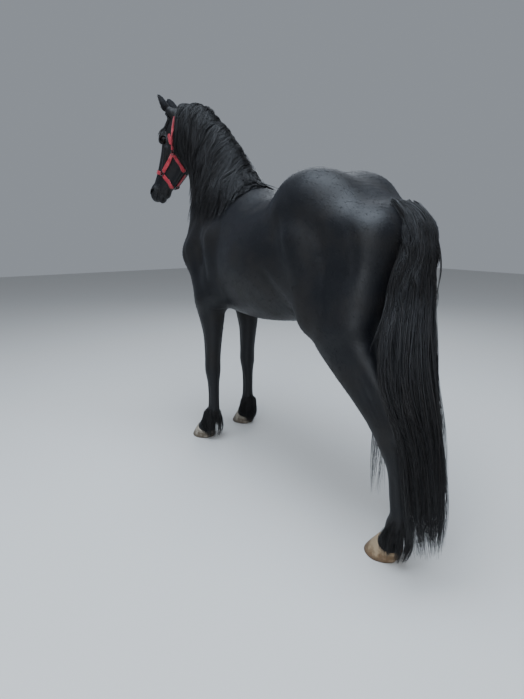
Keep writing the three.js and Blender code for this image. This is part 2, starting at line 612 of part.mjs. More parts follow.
// Ears are cups: a gutter that is nearly closed at the root and opens towards a pointed tip
const CUP = { rings: 8, arc: 7, shape: [[0, 0.62], [0.18, 0.86], [0.42, 1], [0.68, 0.9], [0.88, 0.54], [1, 0.06]] };
const cupWidth = (t) => {
  const i = Math.max(1, CUP.shape.findIndex(([at]) => at >= t));
  const [a, wa] = CUP.shape[i - 1];
  const [b, wb] = CUP.shape[i];
  return EAR.width * lerp(wa, wb, THREE.MathUtils.smoothstep(t, a, b));
};
function earSolid(side, spare = 0) {
  const root = onHead(...mirrorOf(EAR.root, side));
  const tip = onHead(...mirrorOf(EAR.tip, side));
  const axis = tip.clone().sub(root).normalize();
  const face = ALONG.clone().multiplyScalar(0.8).addScaledVector(BROW, 0.6).addScaledVector(LEFT, 0.55 * side);
  face.addScaledVector(axis, -face.dot(axis)).normalize();
  const across = axis.clone().cross(face);
  const positions = [];
  const index = [];
  const around = 2 * (CUP.arc + 1);
  for (let i = 0; i <= CUP.rings; i++) {
    const t = i / CUP.rings;
    const width = cupWidth(t);
    const wide = lerp(2.75, 1.75, Math.min(1, t * 1.6));
    const middle = root.clone().lerp(tip, t).addScaledVector(face, 10 * Math.sin(Math.PI * t) - 4 * t);
    for (let k = 0; k < around; k++) {
      const inner = k > CUP.arc;
      const j = inner ? around - 1 - k : k;
      const angle = lerp(-wide, wide, j / CUP.arc);
      const wall = spare > 0 ? width - 1 : Math.min(EAR.wall, width * 0.65);
      const r = inner ? width - wall : width + spare;
      const p = middle.clone().addScaledVector(face, -Math.cos(angle) * r * 0.9);
      p.addScaledVector(across, Math.sin(angle) * r);
      positions.push(p.x, p.y, p.z);
    }
  }
  const strip = (base, flip) => {
    for (let j = 0; j < CUP.arc; j++) {
      const [a, b, c, d] = [base + j, base + j + 1, base + around - 2 - j, base + around - 1 - j];
      if (flip) index.push(a, b, c, a, c, d);
      else index.push(a, c, b, a, d, c);
    }
  };
  for (let i = 0; i < CUP.rings; i++) {
    for (let k = 0; k < around; k++) {
      const a = i * around + k;
      const b = i * around + ((k + 1) % around);
      index.push(a, b + around, b, a, a + around, b + around);
    }
  }
  strip(0, true);
  strip(CUP.rings * around, false);
  return solidOf(geometryOf(positions, index));
}

// Hooves: a horn wall that widens from the coronet to a flat sole
const WALL = { rings: 3, sides: 18 };
function hoofSolid({ hoof }, extra = 0) {
  const positions = [];
  const index = [];
  const outline = (cx, front, back, half, z, rise) => {
    for (let j = 0; j < WALL.sides; j++) {
      const angle = (2 * Math.PI * j) / WALL.sides;
      const c = Math.cos(angle);
      const narrow = c < 0 ? 1 + 0.14 * c : 1;
      const x = c * ((c > 0 ? front : back) + extra);
      positions.push(hoof[0] + cx + x, hoof[1] + Math.sin(angle) * (half + extra) * narrow, z + rise * x);
    }
  };
  for (let i = 0; i <= WALL.rings; i++) {
    const t = i / WALL.rings;
    const bulb = 1 + 0.03 * Math.sin(Math.PI * t);
    const low = lerp(0, HOOF.crown - GAP, t);
    outline(
      lerp(0, -HOOF.crownBack, t),
      lerp(HOOF.toe, HOOF.crownLong, t),
      lerp(HOOF.heel, HOOF.crownLong, t) * bulb,
      lerp(HOOF.half, HOOF.crownHalf, t) * bulb,
      low,
      HOOF.crownRise * t,
    );
  }
  const sole = positions.push(hoof[0], hoof[1], 0) / 3 - 1;
  const crown = positions.push(hoof[0] - HOOF.crownBack, hoof[1], HOOF.crown - GAP) / 3 - 1;
  for (let j = 0; j < WALL.sides; j++) {
    const k = (j + 1) % WALL.sides;
    for (let i = 0; i < WALL.rings; i++) {
      const a = i * WALL.sides + j;
      const b = i * WALL.sides + k;
      index.push(a, b, b + WALL.sides, a, b + WALL.sides, a + WALL.sides);
    }
    index.push(sole, k, j, crown, WALL.rings * WALL.sides + j, WALL.rings * WALL.sides + k);
  }
  return solidOf(geometryOf(positions, index));
}

// Legs, from the cut under the trunk to the coronet
const LEG = { rings: 22, sides: 12 };
function legSolid(name, wanted = 0) {
  const { side, hoof } = LEGS[name];
  const fore = name.startsWith("fore");
  const top = fore ? CUT.fore : CUT.hind;
  const { samples } = legTubes[name];
  const inner = (fore ? CUT.foreInner : CUT.hindInner) + GAP / 2;
  const box = legBox(name);
  const field = (px, py, pz) =>
    Math.max(bodyField(px, py, pz), inner - side * py, box.low.x + GAP / 2 - px, px - box.high.x + GAP / 2);
  const centres = samples.map((s) => s.c);
  const start = centres.findIndex((c) => c.z < top - 6);
  const path = new THREE.CatmullRomCurve3([centres[start - 1].clone().setZ(top - GAP / 2), ...centres.slice(start)]);
  const rings = [];
  for (let i = 0; i <= LEG.rings; i++) {
    const t = i / LEG.rings;
    const normal = path.getTangent(t);
    normal.lerp(v3(0, 0, -1), Math.max(0, 1 - t * 5)).normalize();
    normal.lerp(v3(HOOF.crownRise, 0, -1), THREE.MathUtils.smoothstep(t, 0.88, 1));
    rings.push(ring(path.getPoint(t), normal, v3(1, 0, 0)));
  }
  return solidOf(loft(field, rings, LEG.sides, { wanted }));
}

// Halter: webbing that follows the skin, each length between two rings being its own strap
const onSkin = (place, level) => toLevel(horse, onHead(...place), level);
function strapSolid(places, spare = 0, sections = 7) {
  const width = HALTER.width + 2 * spare;
  const path = new THREE.CatmullRomCurve3(places.map((p) => onSkin(p, HALTER.clear)));
  const positions = [];
  const index = [];
  for (let i = 0; i <= sections; i++) {
    const p = path.getPoint(i / sections);
    const along = path.getTangent(i / sections);
    const out = gradient(horse, p).normalize();
    const across = along.clone().cross(out).normalize();
    const folded = Math.min(1, 0.5 + 5 * Math.min(i, sections - i) / sections);
    const top = HALTER.thick + spare;
    for (const [edge, level] of [[-0.5, -spare], [0.5, -spare], [0.5, top], [-0.5, top]]) {
      const q = toLevel(horse, p.clone().addScaledVector(across, edge * width * folded), HALTER.clear);
      q.addScaledVector(gradient(horse, q).normalize(), level);
      positions.push(q.x, q.y, q.z);
    }
  }
  for (let i = 0; i < sections; i++) {
    for (let k = 0; k < 4; k++) {
      const a = i * 4 + k;
      const b = i * 4 + ((k + 1) % 4);
      index.push(a, b + 4, b, a, a + 4, b + 4);
    }
  }
  const last = sections * 4;
  index.push(0, 1, 2, 0, 2, 3, last, last + 2, last + 1, last, last + 3, last + 2);
  const strap = solidOf(geometryOf(positions, index));
  return spare > 0 ? strap : strap.subtract(headGap);
}
const RING_PLACES = { cheek: [268, -96, 75], nose: [425, -36, 52] };
function ringSolid(place, side) {
  const level = HALTER.clear + HALTER.wire + 0.4;
  const centre = onSkin(mirrorOf(place, side), level);
  const out = gradient(horse, centre).normalize();
  const geometry = new THREE.TorusGeometry(HALTER.ring, HALTER.wire, 5, 12);
  geometry.applyQuaternion(new THREE.Quaternion().setFromUnitVectors(v3(0, 0, 1), out));
  return solidOf(geometry.translate(centre.x, centre.y, centre.z)).subtract(headGap);
}
// A strap's ends stop just outside the rings that hold it
const SHORT = HALTER.ring + HALTER.wire + 1.5;
function between(a, b, ...more) {
  const points = [a, b, ...more].map((p) => v3(...p));
  const towards = (from, to) => from.clone().addScaledVector(to.clone().sub(from).normalize(), SHORT);
  const out = points.map((p) => p.toArray());
  out[0] = towards(points[0], points[1]).toArray();
  out[out.length - 1] = towards(points.at(-1), points.at(-2)).toArray();
  return out;
}
function crownPlaces(side) {
  const at = (place) => mirrorOf(place, side);
  const crown = between(at(RING_PLACES.cheek), at([180, -70, 82]), at([100, -40, 78]));
  crown[crown.length - 1] = at([66, -32, 74]);
  return crown;
}
function halterParts() {
  const parts = [];
  for (const [name, side] of [["left", 1], ["right", -1]]) {
    const at = (place) => mirrorOf(place, side);
    const cheek = at(RING_PLACES.cheek);
    const nose = at(RING_PLACES.nose);
    parts.push([`halter_ring_cheek_${name}`, ringSolid(RING_PLACES.cheek, side), "iron"]);
    parts.push([`halter_ring_nose_${name}`, ringSolid(RING_PLACES.nose, side), "iron"]);
    parts.push([`halter_cheekpiece_${name}`, strapSolid(between(cheek, nose)), "webbing"]);
    parts.push([`halter_crown_${name}`, strapSolid(crownPlaces(side)), "webbing"]);
    const chin = between(nose, at([455, -92, 48]), at([484, -134, 24]));
    parts.push([`halter_chin_${name}`, strapSolid(chin), "webbing"]);
    const throat = between(cheek, at([330, -165, 58]), at([372, -204, 28]));
    parts.push([`halter_throat_${name}`, strapSolid(throat), "webbing"]);
  }
  const nose = RING_PLACES.nose;
  const noseband = between(nose, [430, 20, 42], [432, 40, 0], [430, 20, -42], mirrorOf(nose, -1));
  parts.push(["halter_noseband", strapSolid(noseband, 0, 14), "webbing"]);
  return parts;
}

// Long hair grows in locks: flat ribbons with a lens section that taper to a point and bend along the way they lie
const random = mulberry(20251);
function mulberry(seed) {
  let state = seed;
  return () => {
    state = (state + 0x6d2b79f5) | 0;
    let t = Math.imul(state ^ (state >>> 15), 1 | state);
    t = (t + Math.imul(t ^ (t >>> 7), 61 | t)) ^ t;
    return ((t ^ (t >>> 14)) >>> 0) / 4294967296;
  };
}
const vary = (amount) => 1 + amount * (2 * random() - 1);
const LOCK = { root: 0.55, widest: 0.4, tip: 0.1 };
const lockShape = (t) => (t < LOCK.widest
  ? lerp(LOCK.root, 1, Math.sin((Math.PI / 2) * (t / LOCK.widest)))
  : lerp(1, LOCK.tip, ((t - LOCK.widest) / (1 - LOCK.widest)) ** 1.4));
function lockSolid(points, faces, width, thick) {
  const positions = [];
  const index = [];
  const last = points.length - 1;
  for (let i = 0; i <= last; i++) {
    const tangent = points[Math.min(i + 1, last)].clone().sub(points[Math.max(i - 1, 0)]).normalize();
    const out = faces[i].clone().addScaledVector(tangent, -faces[i].dot(tangent)).normalize();
    const side = tangent.clone().cross(out);
    const size = lockShape(i / last);
    const corner = (a, b) => {
      const q = points[i].clone().addScaledVector(side, a * width * size * 0.5);
      q.addScaledVector(out, b * thick * Math.max(size, 0.3) * 0.5);
      positions.push(q.x, q.y, q.z);
    };
    corner(-1, -0.25);
    corner(0, 1);
    corner(1, -0.25);
    corner(0, -1);
  }
  for (let i = 0; i < last; i++) {
    for (let k = 0; k < 4; k++) {
      const a = i * 4 + k;
      const b = i * 4 + ((k + 1) % 4);
      index.push(a, b, b + 4, a, b + 4, a + 4);
    }
  }
  const end = last * 4;
  index.push(0, 2, 1, 0, 3, 2, end, end + 1, end + 2, end, end + 2, end + 3);
  const solid = solidOf(geometryOf(positions, index));
  return solid.volume() > 0 ? solid : solidOf(geometryOf(positions, index.reverse()));
}

// A lock that lies on the skin: from its root it is led a step at a time and kept at its own height over the skin
function lyingLock({ root, steps, stride, level, width, thick, lead }) {
  const faces = [gradient(horse, root).normalize()];
  const points = [root.clone().addScaledVector(faces[0], -LIE.sunk)];
  let p = root.clone();
  for (let i = 0; i < steps; i++) {
    const out = gradient(horse, p).normalize();
    const way = lead(i / steps, out, p);
    way.addScaledVector(out, -way.dot(out)).normalize();
    p = toLevel(horse, p.clone().addScaledVector(way, stride), level);
    points.push(p.clone());
    faces.push(gradient(horse, p).normalize());
  }
  return lockSolid(points, faces, width, thick);
}
const LIE = { sunk: 11, steps: 5 };
const DOWN = v3(0, 0, -1);

// Mane: it falls to the left from the crest in three tiers
const MANE = { count: 25, width: 62, thick: 8, tiers: [8, 18, 28], reach: [250, 470, 520, 470, 400, 330] };
function maneLocks() {
  const locks = [];
  for (let i = 0; i < MANE.count; i++) {
    const u = (i + 0.5) / MANE.count;
    const exact = lerp(STEPS * 1.12, neck.samples.length - 2.1, u);
    const a = neck.samples[Math.floor(exact)];
    const b = neck.samples[Math.ceil(exact)];
    const part = exact - Math.floor(exact);
    const centre = a.c.clone().lerp(b.c, part);
    const up = a.up.clone().lerp(b.up, part).normalize();
    const root = centre.clone().addScaledVector(up, reach(horse, centre, up));
    root.copy(toLevel(horse, root.add(v3(0, 8 * vary(1), 0)), 0));
    const at = u * (MANE.reach.length - 1);
    const length = lerp(MANE.reach[Math.floor(at)], MANE.reach[Math.min(Math.ceil(at), 5)], at % 1) * vary(0.09);
    const sway = 0.22 * (2 * random() - 1);
    const wave = 6 * random();
    locks.push(lyingLock({
      root,
      steps: LIE.steps,
      stride: length / LIE.steps,
      level: MANE.tiers[i % MANE.tiers.length],
      width: MANE.width * vary(0.15),
      thick: MANE.thick,
      lead: (t) => up.clone().multiplyScalar(-0.75 * (1 - t)).addScaledVector(DOWN, 0.35 + 0.75 * t)
        .add(v3(0, 0.9 * Math.max(0, 1 - 4 * t), 0))
        .add(v3(sway + 0.14 * Math.sin(wave + 7 * t), 0, 0)),
    }));
  }
  return locks;
}

// Forelock: it falls between the ears down the forehead
const FORELOCK = { count: 5, width: 33, thick: 8, length: 250, tiers: [7, 16], spread: 10 };
function forelockLocks() {
  const locks = [];
  for (let i = 0; i < FORELOCK.count; i++) {
    const across = (i - (FORELOCK.count - 1) / 2) / ((FORELOCK.count - 1) / 2);
    const root = toLevel(horse, onHead(34 + 6 * Math.abs(across), 70, across * FORELOCK.spread), 0);
    const drift = 0.3 * across + 0.08 * (2 * random() - 1);
    const length = FORELOCK.length * (1 - 0.3 * Math.abs(across)) * vary(0.1);
    locks.push(lyingLock({
      root,
      steps: 5,
      stride: length / 5,
      level: FORELOCK.tiers[i % 2],
      width: FORELOCK.width * vary(0.15),
      thick: FORELOCK.thick,
      lead: (t) => ALONG.clone().addScaledVector(LEFT, drift * (1 - t)),
    }));
  }
  return locks;
}

// Feather: locks on the back of each fetlock that hang over the heels
const FEATHER = { count: 6, width: 48, thick: 9, top: 235, low: 175, half: 2.0, tips: 22, steps: 4, flare: 16 };
function featherLocks({ hoof }) {
  const locks = [];
  const shoe = taper([hoof[0] - HOOF.crownBack, hoof[1], HOOF.crown], [hoof[0], hoof[1], 0], HOOF.crownHalf, HOOF.half);
  const skin = (x, y, z) => Math.min(bodyField(x, y, z), shoe.at(x, y, z));
  for (let i = 0; i < FEATHER.count; i++) {
    const around = (i / (FEATHER.count - 1) - 0.5) * 2;
    const angle = Math.PI + around * FEATHER.half;
    const out = v3(Math.cos(angle), Math.sin(angle), 0);
    const z = lerp(FEATHER.top, FEATHER.low, i % 3 / 2) * vary(0.04);
    const core = v3(hoof[0] - 76, hoof[1], z);
    const root = core.clone().addScaledVector(out, reach(bodyField, core, out));
    const tip = lerp(FEATHER.tips, 66, Math.abs(around) ** 1.5) * vary(0.15);
    const points = [root.clone().addScaledVector(out, -8)];
    const faces = [out];
    for (let k = 1; k <= FEATHER.steps; k++) {
      const t = k / FEATHER.steps;
      const p = root.clone().addScaledVector(out, FEATHER.flare * (1 + (i % 2)) * Math.sin(Math.PI * 0.6 * t));
      p.z = lerp(z, tip, t);
      p.x += 12 * t;
      const level = 7 + 8 * (i % 2);
      if (skin(p.x, p.y, p.z) < level) p.copy(toLevel(skin, p, level));
      points.push(p);
      faces.push(out);
    }
    locks.push(lockSolid(points, faces, FEATHER.width * vary(0.15), FEATHER.thick));
  }
  return locks;
}

// Tail: locks in three tiers round a core that ends half way down
const TAIL = [
  [[-1096, 0, 1412], [-0.5, 0, 0.85], 62, 46, 62],
  [[-1186, 4, 1384], [-0.8, 0, 0.6], 66, 58, 72],
  [[-1238, 20, 1280], [-1, 0, 0], 70, 66, 86],
  [[-1246, 44, 1172], [-1, 0, 0], 75, 70, 100],
  [[-1264, 68, 1075], [-1, 0, 0], 76, 74, 107],
  [[-1298, 124, 965], [-1, 0, 0], 86, 82, 121],
  [[-1352, 182, 825], [-1, 0, 0], 92, 88, 130],
  [[-1424, 226, 694], [-1, 0, 0], 83, 80, 118],
  [[-1482, 234, 555], [-1, 0, 0], 66, 66, 92],
  [[-1521, 240, 390], [-1, 0, 0], 62, 62, 88],
  [[-1534, 235, 247], [-1, 0, 0], 56, 56, 78],
  [[-1541, 224, 150], [-1, 0, 0], 44, 44, 62],
];
const DOCK = { rings: 11, sides: 10, until: 0.5, core: 0.62 };
const HAIR = { count: 19, width: 96, thick: 12, tiers: [0.7, 0.87, 1.04], steps: 5, lowest: 150, ragged: 120, clear: 14 };
const tailTube = tube(TAIL, 30, 26);
const coreTube = tube(TAIL.map(([c, up, a, b, w], i) => {
  const slim = i < 2 ? 0.92 : DOCK.core;
  return [c, up, a * slim, b * slim, w * slim];
}), 30, 26);
const torsoGap = trunkSolid(GAP);
const tailPath = (tubeOf, t) => {
  const exact = t * (tubeOf.samples.length - 1);
  const low = tubeOf.samples[Math.floor(exact)];
  const high = tubeOf.samples[Math.min(Math.floor(exact) + 1, tubeOf.samples.length - 1)];
  const part = exact % 1;
  return { c: low.c.clone().lerp(high.c, part), size: low.size.clone().lerp(high.size, part) };
};
function dockSolid() {
  const rings = [];
  for (let i = 0; i <= DOCK.rings; i++) {
    const t = (i / DOCK.rings) * DOCK.until;
    const way = tailPath(coreTube, t + 0.01).c.sub(tailPath(coreTube, t).c);
    rings.push(ring(tailPath(coreTube, t).c, way, v3(0, 1, 0)));
  }
  const tapered = (x, y, z) => coreTube.at(x, y, z) + 45 * THREE.MathUtils.smoothstep(1000 - z, 0, 320);
  return solidOf(loft(tapered, rings, DOCK.sides, { startPole: true }));
}
function tailLocks() {
  const locks = [];
  for (let i = 0; i < HAIR.count; i++) {
    const angle = i * 2.39996 + 0.3 * random();
    const tier = HAIR.tiers[i % HAIR.tiers.length];
    const start = 0.1 + 0.2 * random() + 0.12 * (i % 3 === 0 ? 1 : 0);
    const from = tailPath(tailTube, start);
    const spread = (size) => v3(Math.cos(angle) * (Math.cos(angle) > 0 ? size.y : size.x), Math.sin(angle) * size.z, 0);
    const core = tailPath(coreTube, start);
    const points = [core.c.clone().add(spread(core.size).multiplyScalar(0.55))];
    const out = spread(from.size).normalize();
    const faces = [out];
    const lowest = HAIR.lowest + HAIR.ragged * random() ** 2 * (i % 3 === 2 ? 1.6 : 1);
    const wave = 6 * random();
    const end = 0.985;
    for (let k = 1; k <= HAIR.steps; k++) {
      const t = k / HAIR.steps;
      const { c, size } = tailPath(tailTube, lerp(start, end, t));
      const p = c.clone().add(spread(size).multiplyScalar(tier * (1 - 0.1 * t)));
      p.y += 9 * Math.sin(wave + 8 * t) * t;
      p.x += 7 * Math.cos(wave + 6 * t) * t;
      p.z = Math.max(p.z + (lowest - HAIR.lowest) * t ** 3, lowest);
      const clear = HAIR.clear + 10 * (i % 3);
      if (horse(p.x, p.y, p.z) < clear) p.copy(toLevel(horse, p, clear));
      points.push(p);
      faces.push(out);
    }
    locks.push(lockSolid(points, faces, HAIR.width * vary(0.2), HAIR.thick));
  }
  return locks;
}
const joined = (base, locks) => locks.reduce((solid, lock) => solid.add(lock), base);

const CLEAR = 4;
const beyondHead = blockBeyond(
  HEAD_CUT.point.clone().addScaledVector(HEAD_CUT.normal, CLEAR), HEAD_CUT.normal.clone().negate(),
);
const crownGap = strapSolid(crownPlaces(1), GAP).add(strapSolid(crownPlaces(-1), GAP));
const earGap = earSolid(1, 1).add(earSolid(-1, 1));
const locksClear = (locks, ...others) => others.reduce((all, other) => all.subtract(other), joined(locks[0], locks.slice(1)));
addNode("neck", geometryFrom(neckSolid.add(locksClear(maneLocks(), torsoGap, headGap, crownGap, earGap))), "coat");
addNode("head", geometryFrom(headSolid.add(locksClear(forelockLocks(), beyondHead, earGap))), "coat");
for (const [name, side] of [["left", 1], ["right", -1]]) {
  addNode(`ear_${name}`, geometryFrom(earSolid(side).subtract(headGap)), "coat");
  addNode(`eye_${name}`, geometryFrom(eyes[name].ball(0)), "eye");
}
for (const name of legNames) {
  const feather = locksClear(featherLocks(LEGS[name]), hoofSolid(LEGS[name], GAP));
  const whole = legSolid(name);
  addNode(`leg_${name}`, geometryFrom(whole.subtract(slab(-BLOCK, SPLIT + GAP / 2))), "coat");
  addNode(`fetlock_${name}`, geometryFrom(whole.subtract(slab(SPLIT - GAP / 2, BLOCK)).add(feather)), "coat");
  addNode(`hoof_${name}`, geometryFrom(hoofSolid(LEGS[name])), "horn");
}
const hindGap = legSolid("hind_left", GAP).add(legSolid("hind_right", GAP));
addNode("tail", geometryFrom(joined(dockSolid(), tailLocks()).subtract(torsoGap).subtract(hindGap)), "coat");
for (const [name, solid, material] of halterParts()) addNode(name, geometryFrom(solid), material);

// The origin is on the floor, under the middle of the horse
const bounds = new THREE.Box3().setFromObject(model);
const middle = bounds.getCenter(v3(0, 0, 0));
model.position.set(-middle.x, -middle.y, -bounds.min.z);
model.updateMatrixWorld(true);

export default model;
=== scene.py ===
"""A black Friesian horse in a red web halter, life size and standing still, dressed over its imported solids.

Sizes are in millimetres in the horse's own frame, with +X towards the head, +Y to its left and +Z up, and the
finished meshes are in metres in the frame of the solids.
"""

from __future__ import annotations

import logging
import math
from collections.abc import Callable, Sequence
from dataclasses import dataclass, field
from enum import IntEnum
from typing import ClassVar

import bmesh
import bpy
import numpy as np
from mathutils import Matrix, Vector

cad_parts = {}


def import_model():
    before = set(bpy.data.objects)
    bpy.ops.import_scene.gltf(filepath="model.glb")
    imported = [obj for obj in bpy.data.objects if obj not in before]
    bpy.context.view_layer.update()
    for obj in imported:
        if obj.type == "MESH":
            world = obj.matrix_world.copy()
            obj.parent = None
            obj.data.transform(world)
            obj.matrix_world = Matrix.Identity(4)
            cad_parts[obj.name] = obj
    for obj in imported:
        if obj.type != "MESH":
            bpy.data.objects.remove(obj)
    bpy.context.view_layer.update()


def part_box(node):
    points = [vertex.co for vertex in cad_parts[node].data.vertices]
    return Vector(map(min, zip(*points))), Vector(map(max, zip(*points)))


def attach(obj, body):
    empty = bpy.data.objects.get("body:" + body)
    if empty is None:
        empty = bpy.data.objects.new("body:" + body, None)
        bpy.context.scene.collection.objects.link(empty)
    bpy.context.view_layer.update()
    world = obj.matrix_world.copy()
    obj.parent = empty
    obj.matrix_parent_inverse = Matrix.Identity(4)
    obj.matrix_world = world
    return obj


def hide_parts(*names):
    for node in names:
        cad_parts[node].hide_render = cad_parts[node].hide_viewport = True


log = logging.getLogger("friesian")

Array = np.ndarray
Field = Callable[[Array], Array]

STEPS = 5  # straight pieces between two stations of a body tube
SOFT = 60.0  # how widely one muscle of the trunk runs into the next
UP = (0.0, 0.0, 1.0)
FRONT = (1.0, 0.0, 0.0)
FAR = 1e4
MM = 0.001  # metres in a millimetre
ROUND = 6.28  # how far a random phase may run, once round
GOLDEN = 2.39996  # the angle that spreads places evenly round a middle
LEAST_STEEP = 0.05  # keeps a step along a nearly flat field from running away


class Side(IntEnum):
    """The horse's left and right, as the sign of Y."""

    LEFT = 1
    RIGHT = -1



def unit(vector: Sequence[float] | Array) -> Array:
    """Return the vector, or each row of an array of vectors, at length 1."""
    v = np.asarray(vector, dtype=float)
    return v / np.maximum(np.linalg.norm(v, axis=-1, keepdims=True), 1e-12)


def blend(a: Array, b: Array, soft: float) -> Array:
    """Join two fields with a fillet that is `soft` wide."""
    h = np.maximum(soft - np.abs(a - b), 0) / soft
    return np.minimum(a, b) - h * h * soft * 0.25


def carve(a: Array, b: Array, soft: float) -> Array:
    """Take field b out of field a, with a rounded rim that is `soft` wide."""
    return -blend(-a, b, soft)


def smooth(value: Array, low: float, high: float) -> Array:
    """Rise softly from 0 at `low` to 1 at `high`."""
    t = np.clip((value - low) / (high - low), 0, 1)
    return t * t * (3 - 2 * t)


def spline(points: Array, per: int) -> Array:
    """Sample a Catmull-Rom curve with tension 0.5.

    Args:
        points: The stations, one row each.
        per: How many samples lie between two stations.

    Returns:
        The samples, one row each, the last station included.
    """
    p = np.asarray(points, dtype=float)
    ends = np.vstack([2 * p[0] - p[1], p, 2 * p[-1] - p[-2]])
    rows = []
    for i in range(len(p) - 1):
        a, b, c, d = ends[i : i + 4]
        for k in range(per):
            t = k / per
            speed_b = 0.5 * (c - a)
            speed_c = 0.5 * (d - b)
            rows.append(
                (2 * b - 2 * c + speed_b + speed_c) * t**3
                + (-3 * b + 3 * c - 2 * speed_b - speed_c) * t**2
                + speed_b * t
                + b
            )
    rows.append(p[-1])
    return np.array(rows)


class Mass:
    """One bone or muscle: a field that is negative inside it."""

    soft: float
    low: Array
    high: Array

    def raw(self, points: Array) -> Array:
        """Return the field at each point."""
        raise NotImplementedError

    def at(self, points: Array) -> Array:
        """Return the field at each point, worked out only where it can matter."""
        margin = self.soft + 12
        near = np.all((points > self.low - margin) & (points < self.high + margin), axis=1)
        values = np.full(len(points), FAR)
        if near.any():
            values[near] = self.raw(points[near])
        return values


class Taper(Mass):
    """A tapered bone or muscle between two points."""

    def __init__(
        self, a: Sequence[float], b: Sequence[float], ra: float, rb: float, soft: float = SOFT
    ) -> None:
        """Keep the two ends and their radii."""
        self.a = np.asarray(a, dtype=float)
        self.b = np.asarray(b, dtype=float)
        self.ra = ra
        self.rb = rb
        self.soft = soft
        most = max(ra, rb)
        self.low = np.minimum(self.a, self.b) - most
        self.high = np.maximum(self.a, self.b) + most

    def raw(self, points: Array) -> Array:
        """Return the distance to the tapered surface."""
        axis = self.b - self.a
        p = points - self.a
        t = np.clip(p @ axis / (axis @ axis), 0, 1)
        return np.linalg.norm(p - t[:, None] * axis, axis=1) - (self.ra + (self.rb - self.ra) * t)


class Bulge(Mass):
    """A rounded muscle with three radii along three directions of its own."""

    def __init__(
        self, centre: Sequence[float], radii: Sequence[float], axes: Array | None = None, soft: float = SOFT
    ) -> None:
        """Keep the middle, the radii and the directions."""
        self.centre = np.asarray(centre, dtype=float)
        self.radii = np.asarray(radii, dtype=float)
        self.axes = np.eye(3) if axes is None else np.asarray(axes, dtype=float)
        self.soft = soft
        reach = np.sqrt(((self.axes * self.radii[:, None]) ** 2).sum(axis=0))
        self.low = self.centre - reach
        self.high = self.centre + reach

    def raw(self, points: Array) -> Array:
        """Return the distance to the surface, measured along the line from the middle."""
        p = points - self.centre
        length = np.linalg.norm(p, axis=1)
        ratio = np.maximum(np.linalg.norm(p @ self.axes.T / self.radii, axis=1), 1e-4)
        return np.where(ratio > 1.01e-4, length * (1 - 1 / ratio), -self.radii.min())


Station = tuple[Sequence[float], Sequence[float], float, float, float]


class Tube(Mass):
    """A tube with an egg-shaped section along a bent line.

    A station is its centre, its up direction, and its radii up, down and to the side.
    """

    def __init__(self, stations: Sequence[Station], soft: float = SOFT, cap: float = 60) -> None:
        """Sample the stations' curves once."""
        self.soft = soft
        self.cap = cap
        self.centres = spline(np.array([s[0] for s in stations]), STEPS)
        self.ups = unit(spline(np.array([unit(s[1]) for s in stations]), STEPS))
        self.sizes = spline(np.array([s[2:5] for s in stations]), STEPS)
        most = self.sizes.max(axis=1)[:, None]
        self.low = (self.centres - most).min(axis=0) - cap
        self.high = (self.centres + most).max(axis=0) + cap

    def raw(self, points: Array) -> Array:
        """Return the distance to the tube's skin, measured from its nearest point on the line."""
        count = len(self.centres) - 1
        best = np.full(len(points), np.inf)
        index = np.zeros(len(points), dtype=int)
        along = np.zeros(len(points))
        over = np.zeros(len(points))
        for i in range(count):
            a = self.centres[i]
            axis = self.centres[i + 1] - a
            p = points - a
            raw = p @ axis / (axis @ axis)
            t = np.clip(raw, 0, 1)
            d2 = ((p - t[:, None] * axis) ** 2).sum(axis=1)
            closer = d2 < best
            best[closer] = d2[closer]
            index[closer] = i
            along[closer] = t[closer]
            past = ((i == 0) & (raw < 0)) | ((i == count - 1) & (raw > 1))
            over[closer] = np.where(past, raw - t, 0)[closer]
        a = self.centres[index]
        axis = self.centres[index + 1] - a
        step = np.linalg.norm(axis, axis=1)
        axis /= step[:, None]
        part = along[:, None]
        up = self.ups[index] * (1 - part) + self.ups[index + 1] * part
        up = unit(up - (up * axis).sum(axis=1, keepdims=True) * axis)
        side = np.cross(axis, up)
        size = self.sizes[index] * (1 - part) + self.sizes[index + 1] * part
        p = points - (a + axis * (step * along)[:, None])
        h = (p * up).sum(axis=1)
        w = (p * side).sum(axis=1)
        e = over * step
        ratio = np.sqrt(
            (h / np.where(h > 0, size[:, 0], size[:, 1])) ** 2 + (w / size[:, 2]) ** 2 + (e / self.cap) ** 2
        )
        length = np.sqrt(h * h + w * w + e * e)
        return np.where(ratio > 1e-4, length * (1 - 1 / np.maximum(ratio, 1e-4)), -size.min(axis=1))


def joined(masses: Sequence[Mass], points: Array) -> Array:
    """Blend masses one after another, each over its own soft width."""
    d = masses[0].at(points)
    for mass in masses[1:]:
        d = blend(d, mass.at(points), mass.soft)
    return d


